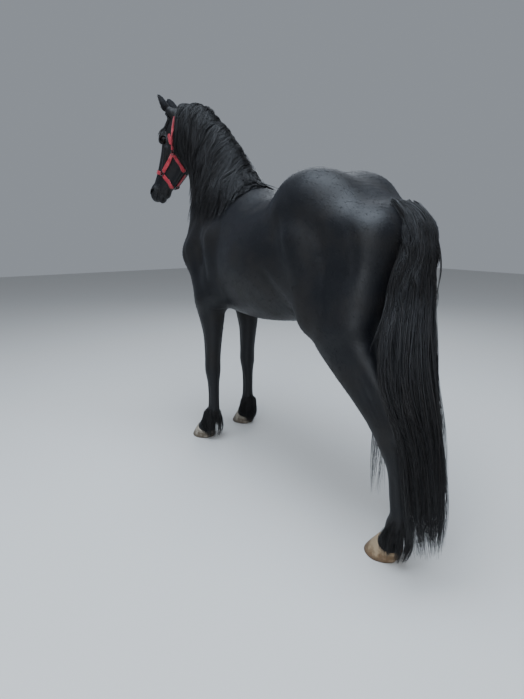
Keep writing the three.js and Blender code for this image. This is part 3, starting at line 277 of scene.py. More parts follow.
@dataclass
class Head:
    """Where the head is, and its own directions: along the face, out of the forehead, and to its left."""

    poll: tuple[float, float, float] = (598.0, 108.0, 2118.0)
    turn: float = 30.7
    drop: float = 68.0
    eye: tuple[float, float, float] = (224.0, 4.0, 88.0)
    eye_radius: float = 22.0
    eye_shows: float = 9.0
    ear_root: tuple[float, float, float] = (42.0, 46.0, 50.0)
    ear_tip: tuple[float, float, float] = (-16.0, 150.0, 60.0)
    ear_width: float = 35.0

    def __post_init__(self) -> None:
        """Work out the directions."""
        turn = math.radians(self.turn)
        drop = math.radians(self.drop)
        self.along = np.array(
            [math.cos(drop) * math.cos(turn), math.cos(drop) * math.sin(turn), -math.sin(drop)]
        )
        self.brow = np.array(
            [math.sin(drop) * math.cos(turn), math.sin(drop) * math.sin(turn), math.cos(drop)]
        )
        self.left = np.array([-math.sin(turn), math.cos(turn), 0.0])
        self.axes = np.array([self.along, self.brow, self.left])

    def on(self, along: float, front: float, side: float = 0.0) -> Array:
        """Return a place of the head in the horse's frame."""
        return np.array(self.poll) + along * self.along + front * self.brow + side * self.left

    def local(self, points: Array) -> Array:
        """Return points in the head's own directions."""
        return (points - np.array(self.poll)) @ self.axes.T

    def masses(self) -> list[Mass]:
        """Return the skull, its muscles and the muzzle."""
        stations = [
            (5, 12, -120, 58), (70, 40, -150, 72), (
                140, 56, -178, 82
            ), (225, 54, -192, 78), (300, 45, -188, 64),
            (380, 39, -168, 54), (450, 35, -136, 50), (515, 34, -97, 50), (566, 28, -72, 48),
        ]
        skull = Tube(
            [
                (
                    self.on(a, (f + j) / 2), self.brow, (f - j) / 2, (f - j) / 2, half
                ) for a, f, j, half in stations
            ], 22, 42
        )
        masses: list[Mass] = [skull]
        for s in Side:
            masses += [
                Bulge(self.on(212, -120, s * 44), (126, 114, 46), self.axes, 24),
                Bulge(
                    self.on(self.eye[0] - 16, self.eye[1] + 24, s * (self.eye[2] - 22)),
                    (44, 22, 26),
                    self.axes,
                    26,
                ),
                Taper(self.on(262, -28, s * 70), self.on(385, -34, s * 44), 17, 10, 26),
                Bulge(self.on(548, -4, s * 36), (42, 30, 22), self.axes, 24),
                Taper(self.on(135, -128, s * 48), self.on(70, -60, s * 58), 34, 26, 26),
                Taper(self.on(275, -190, s * 36), self.on(470, -120, s * 28), 24, 16, 20),
                Taper(
                    self.on(50, 12, s * 50),
                    self.on(self.ear_root[0], self.ear_root[1], s * self.ear_root[2]),
                    32,
                    25,
                    22,
                ),
            ]
        masses += [
            Bulge(self.on(582, -12), (42, 40, 47), self.axes, 20),
            Bulge(self.on(580, -60), (36, 24, 36), self.axes, 12),
            Bulge(self.on(540, -84), (36, 22, 32), self.axes, 16),
        ]
        return masses


@dataclass
class Leg:
    """Where one leg stands and how far it leans."""

    side: Side
    y: float
    hoof: tuple[float, float]
    x: float = 0.0
    reach: float = 0.0
    hind: bool = False


LEGS = {
    "fore_left": Leg(Side.LEFT, 178, (236, 200), x=140),
    "fore_right": Leg(Side.RIGHT, -152, (288, -152), x=232),
    "hind_left": Leg(Side.LEFT, 205, (-1313, 199), reach=0, hind=True),
    "hind_right": Leg(Side.RIGHT, -185, (-1148, -178), reach=150, hind=True),
}


@dataclass
class HorseForm:
    """The shape of the animal as one field, in millimetres, negative inside the skin."""

    head: Head = field(default_factory=Head)
    withers: float = 1590
    back: float = 1525
    croup: float = 1614
    tail_head: float = 1450
    elbow: float = 905
    knee: float = 465
    fore_fetlock: float = 170
    hock: float = 520
    hind_fetlock: float = 175
    coronet: float = 82
    crown: float = 68
    crown_back: float = 31

    def __post_init__(self) -> None:
        """Build every mass once."""
        self.trunk = self._trunk()
        self.neck = self._neck()
        self.body_masses: list[Mass] = [self.trunk, self.neck]
        self.body_masses += self._side(Side.LEFT, LEGS["fore_left"], LEGS["hind_left"])
        self.body_masses += self._side(Side.RIGHT, LEGS["fore_right"], LEGS["hind_right"])
        self.body_masses += [self._hind(leg) if leg.hind else self._fore(leg) for leg in LEGS.values()]
        self.head_masses = self.head.masses()

    def _trunk(self) -> Tube:
        """Return the trunk from the chest to the buttocks."""
        return Tube([
            ((300, 0, 1215), UP, 150, 185, 160),
            ((200, 0, 1230), UP, 250, 300, 205),
            ((60, 0, 1230), UP, 325, 372, 238),
            ((-100, 0, 1220), UP, self.withers - 1225, 380, 272),
            ((-280, 0, 1200), UP, self.back + 10 - 1200, 360, 318),
            ((-450, 0, 1190), UP, self.back + 15 - 1190, 328, 335),
            ((-600, 0, 1200), UP, self.croup - 32 - 1200, 300, 320),
            ((-720, 0, 1225), UP, self.croup - 12 - 1225, 265, 298),
            ((-830, 0, 1250), UP, self.croup - 10 - 1250, 235, 285),
            ((-930, 0, 1255), UP, self.croup - 56 - 1255, 205, 270),
            ((-1030, 0, 1250), UP, self.tail_head + 36 - 1250, 180, 245),
            ((-1110, 0, 1240), UP, self.tail_head - 1240, 160, 205),
        ], SOFT, 90)

    def _neck(self) -> Tube:
        """Return the neck, with its crest on the up side and its throat below."""
        return Tube([
            ((95, 0, 1320), (-0.66, 0, 0.75), 334, 350, 224),
            ((195, 2, 1520), (-0.76, 0, 0.65), 275, 325, 214),
            ((262, 14, 1668), (-0.77, 0, 0.64), 236, 264, 172),
            ((350, 40, 1800), (-0.62, -0.04, 0.78), 208, 186, 128),
            ((450, 70, 1905), (-0.3, -0.04, 0.95), 190, 164, 104),
            ((555, 98, 1965), (0.05, 0, 1), 152, 150, 84),
        ], 50, 60)

    def _fore(self, leg: Leg) -> Tube:
        """Return a foreleg from the elbow to the coronet."""
        x = leg.x
        y = leg.y
        hoof_x = leg.hoof[0] - self.crown_back
        lift = self.knee

        def foot(t: float, z: float) -> tuple[float, float, float]:
            """Return the place a share of the way from the leg to the hoof, at a height."""
            return (x + (hoof_x - x) * t, y + (leg.hoof[1] - y) * t, z)

        return Tube([
            ((x - 45, y * 0.94, 1120), FRONT, 112, 124, 78),
            ((x - 40, y * 0.97, 1000), FRONT, 118, 116, 86),
            ((x + 2, y, self.elbow), FRONT, 108, 112, 90),
            ((x - 8, y, self.elbow - 100), FRONT, 86, 82, 76),
            ((x - 12, y, self.elbow - 200), FRONT, 68, 66, 60),
            ((x - 6, y, lift + 140), FRONT, 58, 55, 53),
            ((x - 2, y, lift + 80), FRONT, 53, 52, 51),
            ((x, y, lift + 38), FRONT, 51, 51, 52),
            ((x, y, lift), FRONT, 49, 51, 51),
            ((x - 1, y, lift - 42), FRONT, 43, 47, 44),
            ((x - 1, y, lift - 85), FRONT, 34, 44, 39),
            ((x - 1, y, lift - 160), FRONT, 31, 43, 36),
            (foot(0.02, self.fore_fetlock + 62), FRONT, 33, 45, 37),
            (foot(0.08, self.fore_fetlock + 22), FRONT, 40, 50, 43),
            (foot(0.2, self.fore_fetlock - 6), (0.95, 0, 0.3), 43, 52, 47),
            (foot(0.5, self.fore_fetlock - 42), (0.8, 0, 0.6), 39, 44, 43),
            (foot(0.78, self.coronet + 20), (0.8, 0, 0.6), 44, 47, 51),
            (foot(1, self.crown), (0.94, 0, 0.35), 53, 53, 59),
        ], 40, 30)

    def _hind(self, leg: Leg) -> Tube:
        """Return a hind leg from the thigh to the coronet."""
        reach = leg.reach
        y = leg.y
        hoof_x = leg.hoof[0] - self.crown_back

        def foot(t: float, z: float) -> tuple[float, float, float]:
            """Return the place a share of the way from the leg to the hoof, at a height."""
            start = reach - 1378
            return (start + (hoof_x - start) * t, y + (leg.hoof[1] - y) * t, z)

        return Tube([
            ((-925, y * 0.72, 1180), FRONT, 175, 185, 112),
            ((-935 + reach * 0.1, y * 0.92, 1040), (0.97, 0, -0.25), 158, 182, 112),
            ((-985 + reach * 0.3, y, 915), (0.85, 0, -0.5), 124, 150, 98),
            ((-1065 + reach * 0.5, y, 800), (0.72, 0, -0.7), 90, 118, 82),
            ((-1165 + reach * 0.75, y, 685), (0.7, 0, -0.72), 63, 86, 62),
            ((-1262 + reach, y, self.hock + 65), (0.75, 0, -0.66), 52, 68, 54),
            ((-1312 + reach, y, self.hock), (0.93, 0, -0.35), 52, 62, 53),
            ((-1342 + reach, y, self.hock - 60), FRONT, 46, 54, 48),
            ((-1358 + reach, y, self.hock - 125), FRONT, 36, 46, 40),
            ((-1368 + reach, y, self.hind_fetlock + 120), FRONT, 32, 44, 36),
            (foot(0, self.hind_fetlock + 55), FRONT, 33, 46, 38),
            (foot(0.05, self.hind_fetlock + 10), FRONT, 43, 53, 47),
            (foot(0.25, self.hind_fetlock - 22), (0.92, 0, 0.4), 43, 51, 48),
            (foot(0.6, self.hind_fetlock - 55), (0.8, 0, 0.6), 40, 45, 45),
            (foot(0.82, self.coronet + 18), (0.8, 0, 0.6), 45, 48, 52),
            (foot(1, self.crown), (0.94, 0, 0.35), 53, 53, 59),
        ], 45, 30)

    def _side(self, side: Side, fore: Leg, hind: Leg) -> list[Mass]:
        """Return the muscles of one side of the trunk."""
        r = hind.reach
        return [
            Taper((20, side * 95, 1520), (290, side * 162, 1200), 66, 80, 90),
            Taper((235, side * 105, 1430), (285, side * 150, 1260), 92, 84, 110),
            Taper((292, side * 166, 1180), (fore.x - 10, side * 186, 950), 82, 98, 90),
            Taper((20, side * 170, 1290), (30, side * 190, 985), 115, 66),
            Bulge((292, side * 84, 1120), (80, 84, 120), None, 90),
            Bulge((-745, side * 135, 1460), (238, 150, 163)),
            Taper((-650, side * 218, 1425), (-720, side * 205, 1330), 58, 70),
            Taper((-760, side * 140, 1440), (-1080, side * 118, 1315), 135, 120, 40),
            Taper((-1080, side * 112, 1310), (-1075 + r * 0.25, side * 182, 955), 120, 112),
            Taper((-770, side * 205, 1290), (-868 + r * 0.2, side * 218, 950), 108, 76),
            Taper((-700, side * 210, 1120), (-815, side * 216, 985), 58, 46, 80),
            Taper((-1282 + r, hind.y, 585), (-1370 + r, hind.y, self.hock + 55), 38, 29, 40),
            Taper((-1364 + r, hind.y, self.hock + 60), (-1150 + r * 0.65, hind.y, 840), 24, 56, 70),
        ]

    def body(self, points: Array) -> Array:
        """Return the field of the trunk, neck and legs."""
        return joined(self.body_masses, points)

    def whole(self, points: Array) -> Array:
        """Return the field of the animal as the solids have it."""
        d = self.body(points)
        near = (points[:, 2] >= 1400) & (points[:, 0] >= 150)
        if near.any():
            d[near] = blend(d[near], joined(self.head_masses, points[near]), 34)
        return d


@dataclass
class Crease:
    """A groove, or with a negative depth a ridge, that follows a line in the skin."""

    path: Array
    width: float
    depth: float

    def add_to(self, values: Array, points: Array) -> None:
        """Raise the field along the line, which moves the skin inwards."""
        margin = 2.5 * self.width
        near = np.flatnonzero(
            np.all(
                (points > self.path.min(axis=0) - margin) & (points < self.path.max(axis=0) + margin),
                axis=1,
            )
        )
        if not len(near):
            return
        p = points[near]
        best = np.full(len(p), np.inf)
        at = np.zeros(len(p))
        count = len(self.path) - 1
        for i in range(count):
            axis = self.path[i + 1] - self.path[i]
            t = np.clip((p - self.path[i]) @ axis / (axis @ axis), 0, 1)
            d2 = ((p - self.path[i] - t[:, None] * axis) ** 2).sum(axis=1)
            closer = d2 < best
            best[closer] = d2[closer]
            at[closer] = ((i + t) / count)[closer]
        fade = np.clip(np.minimum(at, 1 - at) * 5, 0, 1)
        values[near] += self.depth * np.exp(-best / self.width**2) * fade


@dataclass
class SkinForm:
    """The skin that shows: the animal's field, less the coat's depth, with its face and finer folds."""

    form: HorseForm = field(default_factory=HorseForm)
    coat: float = 2.0
    lid: float = 3.4
    eye_half: float = 24.0
    upper_lid: float = 13.0
    lower_lid: float = 10.5
    eyes: dict[int, tuple[Array, Array]] = field(default_factory=dict)
    creases: list[Crease] = field(default_factory=list)

    def __post_init__(self) -> None:
        """Place the eyes and the folds."""
        head = self.form.head
        for side in Side:
            outward = unit(head.left * side + 0.18 * head.brow)
            skin = self.form_level(
                head.on(head.eye[0], head.eye[1], side * head.eye[2])[None], self.form.whole, 0
            )[0]
            centre = skin + outward * (head.eye_shows - head.eye_radius)
            across = unit(head.along - outward * (head.along @ outward))
            self.eyes[side] = (
                centre, np.array([across, unit(np.cross(across, outward) * side), outward])
            )
        self.creases = self._folds()

    @staticmethod
    def form_level(points: Array, form: Field, level: float, turns: int = 5) -> Array:
        """Move points along the field's slope until the field there is `level`."""
        p = points.copy()
        for _ in range(turns):
            value, slope = SkinForm.slope(p, form)
            steep = np.maximum((slope**2).sum(axis=1), LEAST_STEEP)
            p -= slope * np.clip((value - level) / steep, -40, 40)[:, None]
        return p

    @staticmethod
    def slope(points: Array, form: Field) -> tuple[Array, Array]:
        """Return the field and its slope at each point."""
        small = 0.5
        stack = np.concatenate([points] + [points + small * axis for axis in np.eye(3)])
        values = form(stack).reshape(4, len(points))
        return values[0], ((values[1:] - values[0]) / small).T

    def _folds(self) -> list[Crease]:
        """Return the lines of the face, neck and legs."""
        head = self.form.head
        folds: list[Crease] = []

        def face(places: Sequence[tuple[float, float, float]], width: float, depth: float) -> None:
            """Add one line of the face on both sides."""
            for s in Side:
                raw = np.array([head.on(a, f, s * b) for a, f, b in places])
                line = self.form_level(spline(raw, 4), self.form.whole, -2)
                folds.append(Crease(line, width, depth))

        def mouth_line() -> None:
            """Add the line between the lips."""
            half = [
                (505, -50, 40),
                (525, -46, 42),
                (550, -43, 42),
                (575, -41, 38),
                (600, -40, 26),
                (612, -40, 10),
            ]
            whole = half + [(613, -40, 0)] + [(a, f, -b) for a, f, b in reversed(half)]
            raw = np.array([head.on(a, f, b) for a, f, b in whole])
            folds.append(Crease(self.form_level(spline(raw, 3), self.form.whole, -2), 4.5, 8.0))

        mouth_line()
        face([(196, 26, 88), (206, 38, 84), (224, 42, 82), (246, 36, 80)], 3.2, 2.6)
        face([(190, 40, 80), (206, 52, 74), (228, 55, 72), (250, 48, 72)], 4.0, 2.0)
        face([(206, -18, 90), (224, -26, 88), (248, -20, 84)], 3.2, 2.0)
        face([(254, 0, 78), (270, -8, 72), (290, -12, 66)], 4.5, 2.4)
        face([(262, -50, 72), (320, -52, 58), (400, -52, 44)], 12, 4.5)
        face([(265, 18, 66), (330, 8, 52), (420, 2, 44), (500, 8, 44)], 12, 3.0)
        face([(530, -30, 46), (560, -24, 46), (585, -22, 42)], 6, 2.2)
        face([(500, -46, 42), (492, -34, 46), (486, -22, 46)], 5, 2.4)
        face([(560, -66, 32), (540, -58, 36), (520, -56, 36)], 5, 2.0)
        face([(150, -30, 84), (170, -80, 88), (200, -125, 80), (240, -160, 62)], 9, -1.5)
        face([(300, -30, 66), (340, -60, 52), (380, -96, 40)], 3.2, -1.8)
        face([(345, -64, 50), (400, -50, 44), (450, -46, 42)], 3.0, -1.5)

        def body(places: Sequence[tuple[float, float, float]], width: float, depth: float) -> None:
            """Add one line of the body on both sides."""
            for s in Side:
                raw = np.array([(x, s * y, z) for x, y, z in places], dtype=float)
                line = self.form_level(spline(raw, 5), self.form.body, -2)
                folds.append(Crease(line, width, depth))

        body([(120, 200, 1560), (220, 210, 1400), (300, 230, 1250), (240, 240, 1100)], 22, 5)
        body([(-40, 220, 1500), (40, 250, 1330), (60, 270, 1150), (20, 250, 1010)], 26, 6)
        body([(-560, 330, 1200), (-640, 320, 1080), (-700, 290, 960)], 24, 5)
        body([(-900, 300, 1420), (-960, 320, 1250), (-985, 300, 1080), (-1010, 280, 950)], 26, 6)
        body([(-1060, 260, 1400), (-1110, 240, 1250), (-1100, 250, 1100)], 22, 4)
        body([(-640, 330, 1440), (-700, 340, 1330), (-740, 330, 1210)], 20, 4)
        body([(320, 120, 1480), (440, 150, 1640), (520, 170, 1790)], 20, 7)
        for leg in LEGS.values():
            y = leg.y + 60 * leg.side
            inner = leg.y - 60 * leg.side
            if leg.hind:
                r = leg.reach
                for edge in (y, inner):
                    places = [(-1372 + r, edge, 400), (-1384 + r, edge, 320), (-1392 + r, edge, 235)]
                    folds.append(
                        Crease(
                            self.form_level(spline(np.array(places, dtype=float), 4), self.form.body, -2),
                            8,
                            5,
                        )
                    )
                    places = [
                        (-1150 + r * 0.8, edge, 800), (-1230 + r * 0.9, edge, 680), (-1310 + r, edge, 590)
                    ]
                    folds.append(
                        Crease(
                            self.form_level(spline(np.array(places, dtype=float), 4), self.form.body, -2),
                            14,
                            6,
                        )
                    )
            else:
                for edge in (y, inner):
                    places = [(leg.x - 12, edge, 380), (leg.x - 13, edge, 310), (leg.x - 12, edge, 225)]
                    folds.append(
                        Crease(
                            self.form_level(spline(np.array(places, dtype=float), 4), self.form.body, -2),
                            8,
                            5,
                        )
                    )
                    places = [(leg.x + 10, edge, 800), (leg.x + 2, edge, 690), (leg.x - 4, edge, 560)]
                    folds.append(
                        Crease(
                            self.form_level(spline(np.array(places, dtype=float), 4), self.form.body, -2),
                            11,
                            4,
                        )
                    )
        return folds

    def at(self, points: Array) -> Array:
        """Return the field of the skin that shows."""
        d = self.form.whole(points) + self.coat
        head = self.form.head
        near = np.flatnonzero((points[:, 2] > 1450) & (points[:, 0] > 480))
        if len(near):
            p = points[near]
            local = head.local(p)
            part = d[near]
            for side, (centre, axes) in self.eyes.items():
                part = self._eye(part, (p - centre) @ axes.T, head)
                part = self._nostril(part, local, side)
            d[near] = part
        for crease in self.creases:
            crease.add_to(d, points)
        return d

    def _eye(self, d: Array, local: Array, head: Head) -> Array:
        """Wrap the lids round one eyeball and open them."""
        u, v, w = local.T
        ball = np.linalg.norm(local, axis=1)
        d = blend(d, ball - head.eye_radius - self.lid, 12)
        radius_up = (self.eye_half**2 + self.upper_lid**2) / (2 * self.upper_lid)
        radius_low = (self.eye_half**2 + self.lower_lid**2) / (2 * self.lower_lid)
        upper = np.hypot(u, v - (self.upper_lid - radius_up)) - radius_up
        lower = np.hypot(u, v + (self.lower_lid - radius_low)) - radius_low
        opening = np.maximum(np.maximum(upper, lower), 2 - w)
        d = carve(d, opening, 4)
        return carve(d, ball - head.eye_radius - 0.4, 1.5)

    @staticmethod
    def _nostril(d: Array, local: Array, side: Side) -> Array:
        """Open one nostril, with a soft rim that is drawn back over it."""
        a = local[:, 0] - 558
        f = local[:, 1] - 4
        s = local[:, 2] * side - 50
        turn = 0.75
        long = a * math.cos(turn) + f * math.sin(turn)
        short = -a * math.sin(turn) + f * math.cos(turn) - 0.012 * long**2
        hole = np.sqrt((long / 21) ** 2 + (short / 9) ** 2 + (s / 22) ** 2)
        size = np.sqrt(long**2 + short**2 + s**2)
        depth = size * (1 - 1 / np.maximum(hole, 1e-3))
        ring = np.abs(np.hypot(long / 25, short / 13) - 1) * 15
        rim = np.hypot(ring, np.maximum(np.abs(s) - 16, 0)) - 5
        d = np.where(np.abs(d) < 14, np.minimum(d, blend(d, np.maximum(rim, np.abs(d) - 2.4), 7)), d)
        return carve(d, depth, 6)


class SurfaceNet:
    """Turns a field into a mesh of even quads."""

    def __init__(self, form: Field, low: Array, high: Array, cell: float) -> None:
        """Keep the field, the box that holds the surface and the size of a quad."""
        self.form = form
        self.low = low
        self.high = high
        self.cell = cell

    def _grid(self) -> Array:
        """Return the field on the grid, worked out only near the surface."""
        coarse = 4
        count = np.ceil((self.high - self.low) / self.cell / coarse).astype(int) * coarse + 1
        blocks = (count - 1) // coarse
        axes = [self.low[k] + self.cell * coarse * np.arange(blocks[k] + 1) for k in range(3)]
        points = np.stack(np.meshgrid(*axes, indexing="ij"), axis=-1).reshape(-1, 3)
        rough = self.form(points).reshape(blocks + 1)
        reach = self.cell * coarse * 1.9
        near = np.abs(rough) < reach
        block_near = np.zeros(blocks, dtype=bool)
        for dx in (0, 1):
            for dy in (0, 1):
                for dz in (0, 1):
                    block_near |= near[dx : dx + blocks[0], dy : dy + blocks[1], dz : dz + blocks[2]]
        values = np.repeat(
            np.repeat(np.repeat(rough, coarse, 0), coarse, 1), coarse, 2
        )[: count[0], : count[1], : count[2]]
        wanted = np.zeros(count, dtype=bool)
        spread = np.repeat(np.repeat(np.repeat(block_near, coarse, 0), coarse, 1), coarse, 2)
        for dx in (0, 1):
            for dy in (0, 1):
                for dz in (0, 1):
                    wanted[
                        dx : dx + spread.shape[0], dy : dy + spread.shape[1], dz : dz + spread.shape[2]
                    ] |= spread
        index = np.argwhere(wanted)
        values = np.where(values > 0, FAR, -FAR)
        values[tuple(index.T)] = self.form(self.low + self.cell * index)
        return values

    def mesh(self) -> tuple[Array, Array]:
        """Return vertices and quads of the surface where the field is zero."""
        values = self._grid()
        inside = values < 0
        corners = [(i, j, k) for i in (0, 1) for j in (0, 1) for k in (0, 1)]
        shape = np.array(values.shape) - 1

        def shifted(array: Array, corner: tuple[int, int, int]) -> Array:
            """Return the array as one corner of each cell sees it."""
            i, j, k = corner
            return array[i : i + shape[0], j : j + shape[1], k : k + shape[2]]

        total = sum(shifted(inside, c).astype(int) for c in corners)
        active = (total > 0) & (total < 8)
        cells = np.argwhere(active)
        number = np.full(shape, -1)
        number[tuple(cells.T)] = np.arange(len(cells))
        sums = np.zeros((len(cells), 3))
        crossings = np.zeros(len(cells))
        for a in corners:
            for axis in range(3):
                if a[axis]:
                    continue
                b = tuple(1 if k == axis else a[k] for k in range(3))
                va = shifted(values, a)[tuple(cells.T)]
                vb = shifted(values, b)[tuple(cells.T)]
                cross = (va < 0) != (vb < 0)
                t = np.where(cross, va / np.where(cross, va - vb, 1), 0)
                place = np.tile(np.array(a, dtype=float), (len(cells), 1))
                place[:, axis] += t
                sums += place * cross[:, None]
                crossings += cross
        vertices = self.low + self.cell * (cells + sums / crossings[:, None])
        quads = []
        for axis in range(3):
            u = (axis + 1) % 3
            w = (axis + 2) % 3
            one = np.eye(3, dtype=int)[axis]
            pad = [slice(1, n - 1) for n in values.shape]
            pad[axis] = slice(0, values.shape[axis] - 1)
            first = inside[tuple(pad)]
            pad_next = list(pad)
            pad_next[axis] = slice(1, values.shape[axis])
            second = inside[tuple(pad_next)]
            for flip, mask in ((False, first & ~second), (True, ~first & second)):
                places = np.argwhere(mask) + 1 - one
                ring = []
                for du, dw in ((1, 1), (0, 1), (0, 0), (1, 0)):
                    cell = places.copy()
                    cell[:, u] -= du
                    cell[:, w] -= dw
                    ring.append(number[tuple(cell.T)])
                quad = np.stack(ring, axis=1)
                quads.append(quad[:, ::-1] if flip else quad)
        return vertices, np.concatenate(quads)


def face_out(mesh: bpy.types.Mesh) -> None:
    """Turn every face of a closed mesh outwards."""
    bm = bmesh.new()
    bm.from_mesh(mesh)
    bmesh.ops.recalc_face_normals(bm, faces=bm.faces)
    bm.to_mesh(mesh)
    bm.free()


def sleeve(rings: int, sides: int) -> list[list[int]]:
    """Return the quads between rings of points, each with the same number of points."""
    return [
        [i * sides + k, (i + 1) * sides + k, (i + 1) * sides + (k + 1) % sides, i * sides + (k + 1) % sides]
        for i in range(rings)
        for k in range(sides)
    ]


class Placing:
    """Moves meshes from the horse's own frame into the frame of the solids."""

    def __init__(self, toe: float = 325.0, middle: float = 200.0) -> None:
        """Measure the shift from the left fore hoof, whose toe and middle stand at known places."""
        low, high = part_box("hoof_fore_left")
        self.shift = np.array([high[0] * 1000 - toe, (low[1] + high[1]) * 500 - middle, 0.0])

    def metres(self, points: Array) -> Array:
        """Return points in metres in the frame of the solids."""
        return (np.asarray(points) + self.shift) * MM

    def mesh(self, name: str, points: Array, faces: Array | list) -> bpy.types.Mesh:
        """Build a mesh from points in millimetres and its faces."""
        mesh = bpy.data.meshes.new(name)
        rows = faces.tolist() if isinstance(faces, np.ndarray) else faces
        mesh.from_pydata(self.metres(points).tolist(), [], rows)
        mesh.polygons.foreach_set("use_smooth", [True] * len(mesh.polygons))
        mesh.update()
        return mesh

    @staticmethod
    def show(name: str, mesh: bpy.types.Mesh, material: bpy.types.Material | None = None) -> bpy.types.Object:
        """Put a mesh into the scene as a piece that rides on the body."""
        piece = bpy.data.objects.new(name, mesh)
        bpy.context.scene.collection.objects.link(piece)
        if material is not None:
            mesh.materials.clear()
            mesh.materials.append(material)
        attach(piece, "root")
        log.info("%s: %d faces", name, len(mesh.polygons))
        return piece


Operand = "Socket | float"


class Socket:
    """One output of a shader tree, so that maths on it reads as an expression."""

    def __init__(self, shader: Shader, link: bpy.types.NodeSocket) -> None:
        """Keep the tree and the socket."""
        self.shader = shader
        self.link = link

    def _maths(self, operation: str, a: Operand, b: Operand) -> Socket:
        """Add one Math node."""
        return self.shader.node("ShaderNodeMath", {"operation": operation}, {0: a, 1: b})

    def __add__(self, other: Operand) -> Socket:
        """Add."""
        return self._maths("ADD", self, other)

    def __radd__(self, other: Operand) -> Socket:
        """Add to a number."""
        return self._maths("ADD", other, self)

    def __sub__(self, other: Operand) -> Socket:
        """Take away."""
        return self._maths("SUBTRACT", self, other)

    def __rsub__(self, other: Operand) -> Socket:
        """Take away from a number."""
        return self._maths("SUBTRACT", other, self)

    def __mul__(self, other: Operand) -> Socket:
        """Multiply."""
        return self._maths("MULTIPLY", self, other)

    def __rmul__(self, other: Operand) -> Socket:
        """Multiply a number."""
        return self._maths("MULTIPLY", other, self)


class Shader:
    """A material's node tree, and the one way nodes are added to it."""

    def __init__(self, name: str) -> None:
        """Start a material with an empty tree."""
        self.material = bpy.data.materials.new(name)
        self.material.use_nodes = True
        self.tree = self.material.node_tree
        self.tree.nodes.clear()

    def node(
        self, kind: str, settings: dict | None = None, sockets: dict | None = None, out: int | str = 0
    ) -> Socket:
        """Add a node.

        Args:
            kind: Blender's type name.
            settings: Properties of the node, set first.
            sockets: Values or links of its inputs, by name or number.
            out: Which output is returned.

        Returns:
            The chosen output.
        """
        node = self.tree.nodes.new(kind)
        for key, value in (settings or {}).items():
            setattr(node, key, value)
        for key, value in (sockets or {}).items():
            if isinstance(value, Socket):
                self.tree.links.new(value.link, node.inputs[key])
            else:
                node.inputs[key].default_value = value
        return Socket(self, node.outputs[out])

    def place(self, scale: Sequence[float] = (1, 1, 1), middle: Sequence[float] = (0, 0, 0)) -> Socket:
        """Return coordinates, stretched by `scale` about `middle`."""
        coordinates = self.node("ShaderNodeTexCoord", out="Object")
        moved = self.node(
            "ShaderNodeVectorMath", {"operation": "SUBTRACT"}, {0: coordinates, 1: tuple(middle)}
        )
        return self.node("ShaderNodeVectorMath", {"operation": "MULTIPLY"}, {0: moved, 1: tuple(scale)})

    def noise(self, place: Socket, scale: float, detail: float = 2.0, roughness: float = 0.5) -> Socket:
        """Return a noise between 0 and 1."""
        return self.node(
            "ShaderNodeTexNoise",
            {},
            {"Vector": place, "Scale": scale, "Detail": detail, "Roughness": roughness},
        )

    def range(self, value: Socket, low: float, high: float, to_low: float, to_high: float) -> Socket:
        """Map a value from one range to another, held at its ends."""
        return self.node("ShaderNodeMapRange", {}, {0: value, 1: low, 2: high, 3: to_low, 4: to_high})

    def mix(self, factor: Operand, a: Sequence[float] | Socket, b: Sequence[float] | Socket) -> Socket:
        """Mix two colours."""
        values = {
            0: factor,
            6: a if isinstance(a, Socket) else (*a, 1.0),
            7: b if isinstance(b, Socket) else (*b, 1.0),
        }
        return self.node("ShaderNodeMix", {"data_type": "RGBA"}, values, out=2)

    def bump(self, height: Socket, strength: float, distance: float) -> Socket:
        """Turn a height into a normal."""
        return self.node("ShaderNodeBump", {}, {"Height": height, "Strength": strength, "Distance": distance})

    def finish(self, **sockets: object) -> bpy.types.Material:
        """Close the tree with a Principled shader.

        Args:
            sockets: Inputs of the shader, with underscores for the blanks in their names.

        Returns:
            The material.
        """
        values = {key.replace("_", " "): value for key, value in sockets.items()}
        shader = self.node(
            "ShaderNodeBsdfPrincipled",
            {},
            {k: (*v, 1.0) if isinstance(v, tuple) else v for k, v in values.items()},
        )
        self.node_output(shader)
        return self.material

    def node_output(self, shader: Socket) -> None:
        """Link a shader to the output."""
        output = self.tree.nodes.new("ShaderNodeOutputMaterial")
        self.tree.links.new(shader.link, output.inputs["Surface"])


@dataclass(frozen=True)
class CoatFinish:
    """Short glossy black hair."""

    name: str = "coat"
    gloss: float = 0.3
    rough: tuple[float, float] = (0.38, 0.62)
    black: tuple[float, float, float] = (0.0032, 0.0035, 0.005)
    worn: tuple[float, float, float] = (0.0088, 0.0072, 0.0064)
    sheen: float = 0.02

    def material(self) -> bpy.types.Material:
        """Return the material."""
        s = Shader(self.name)
        lie = s.noise(s.place((26, 90, 52)), 4.0, 4.0, 0.65)
        fine = s.noise(s.place((110, 420, 260)), 5.0, 2.0, 0.6)
        patches = s.noise(s.place((1.0, 1.3, 1.0)), 4.5, 4.0, 0.62)
        colour = s.mix(s.range(patches, 0.42, 0.72, 0.0, 1.0), self.black, self.worn)
        rough = s.range(patches * 0.7 + lie * 0.3, 0.35, 0.65, *self.rough)
        normal = s.bump(lie * 0.6 + fine * 0.4 + patches * 1.2, 0.3, 0.003)
        return s.finish(
            Base_Color=colour, Roughness=rough, Normal=normal, Sheen_Weight=self.sheen, Sheen_Roughness=0.45,
            Sheen_Tint=(0.75, 0.82, 1.0), Specular_IOR_Level=self.gloss,
        )


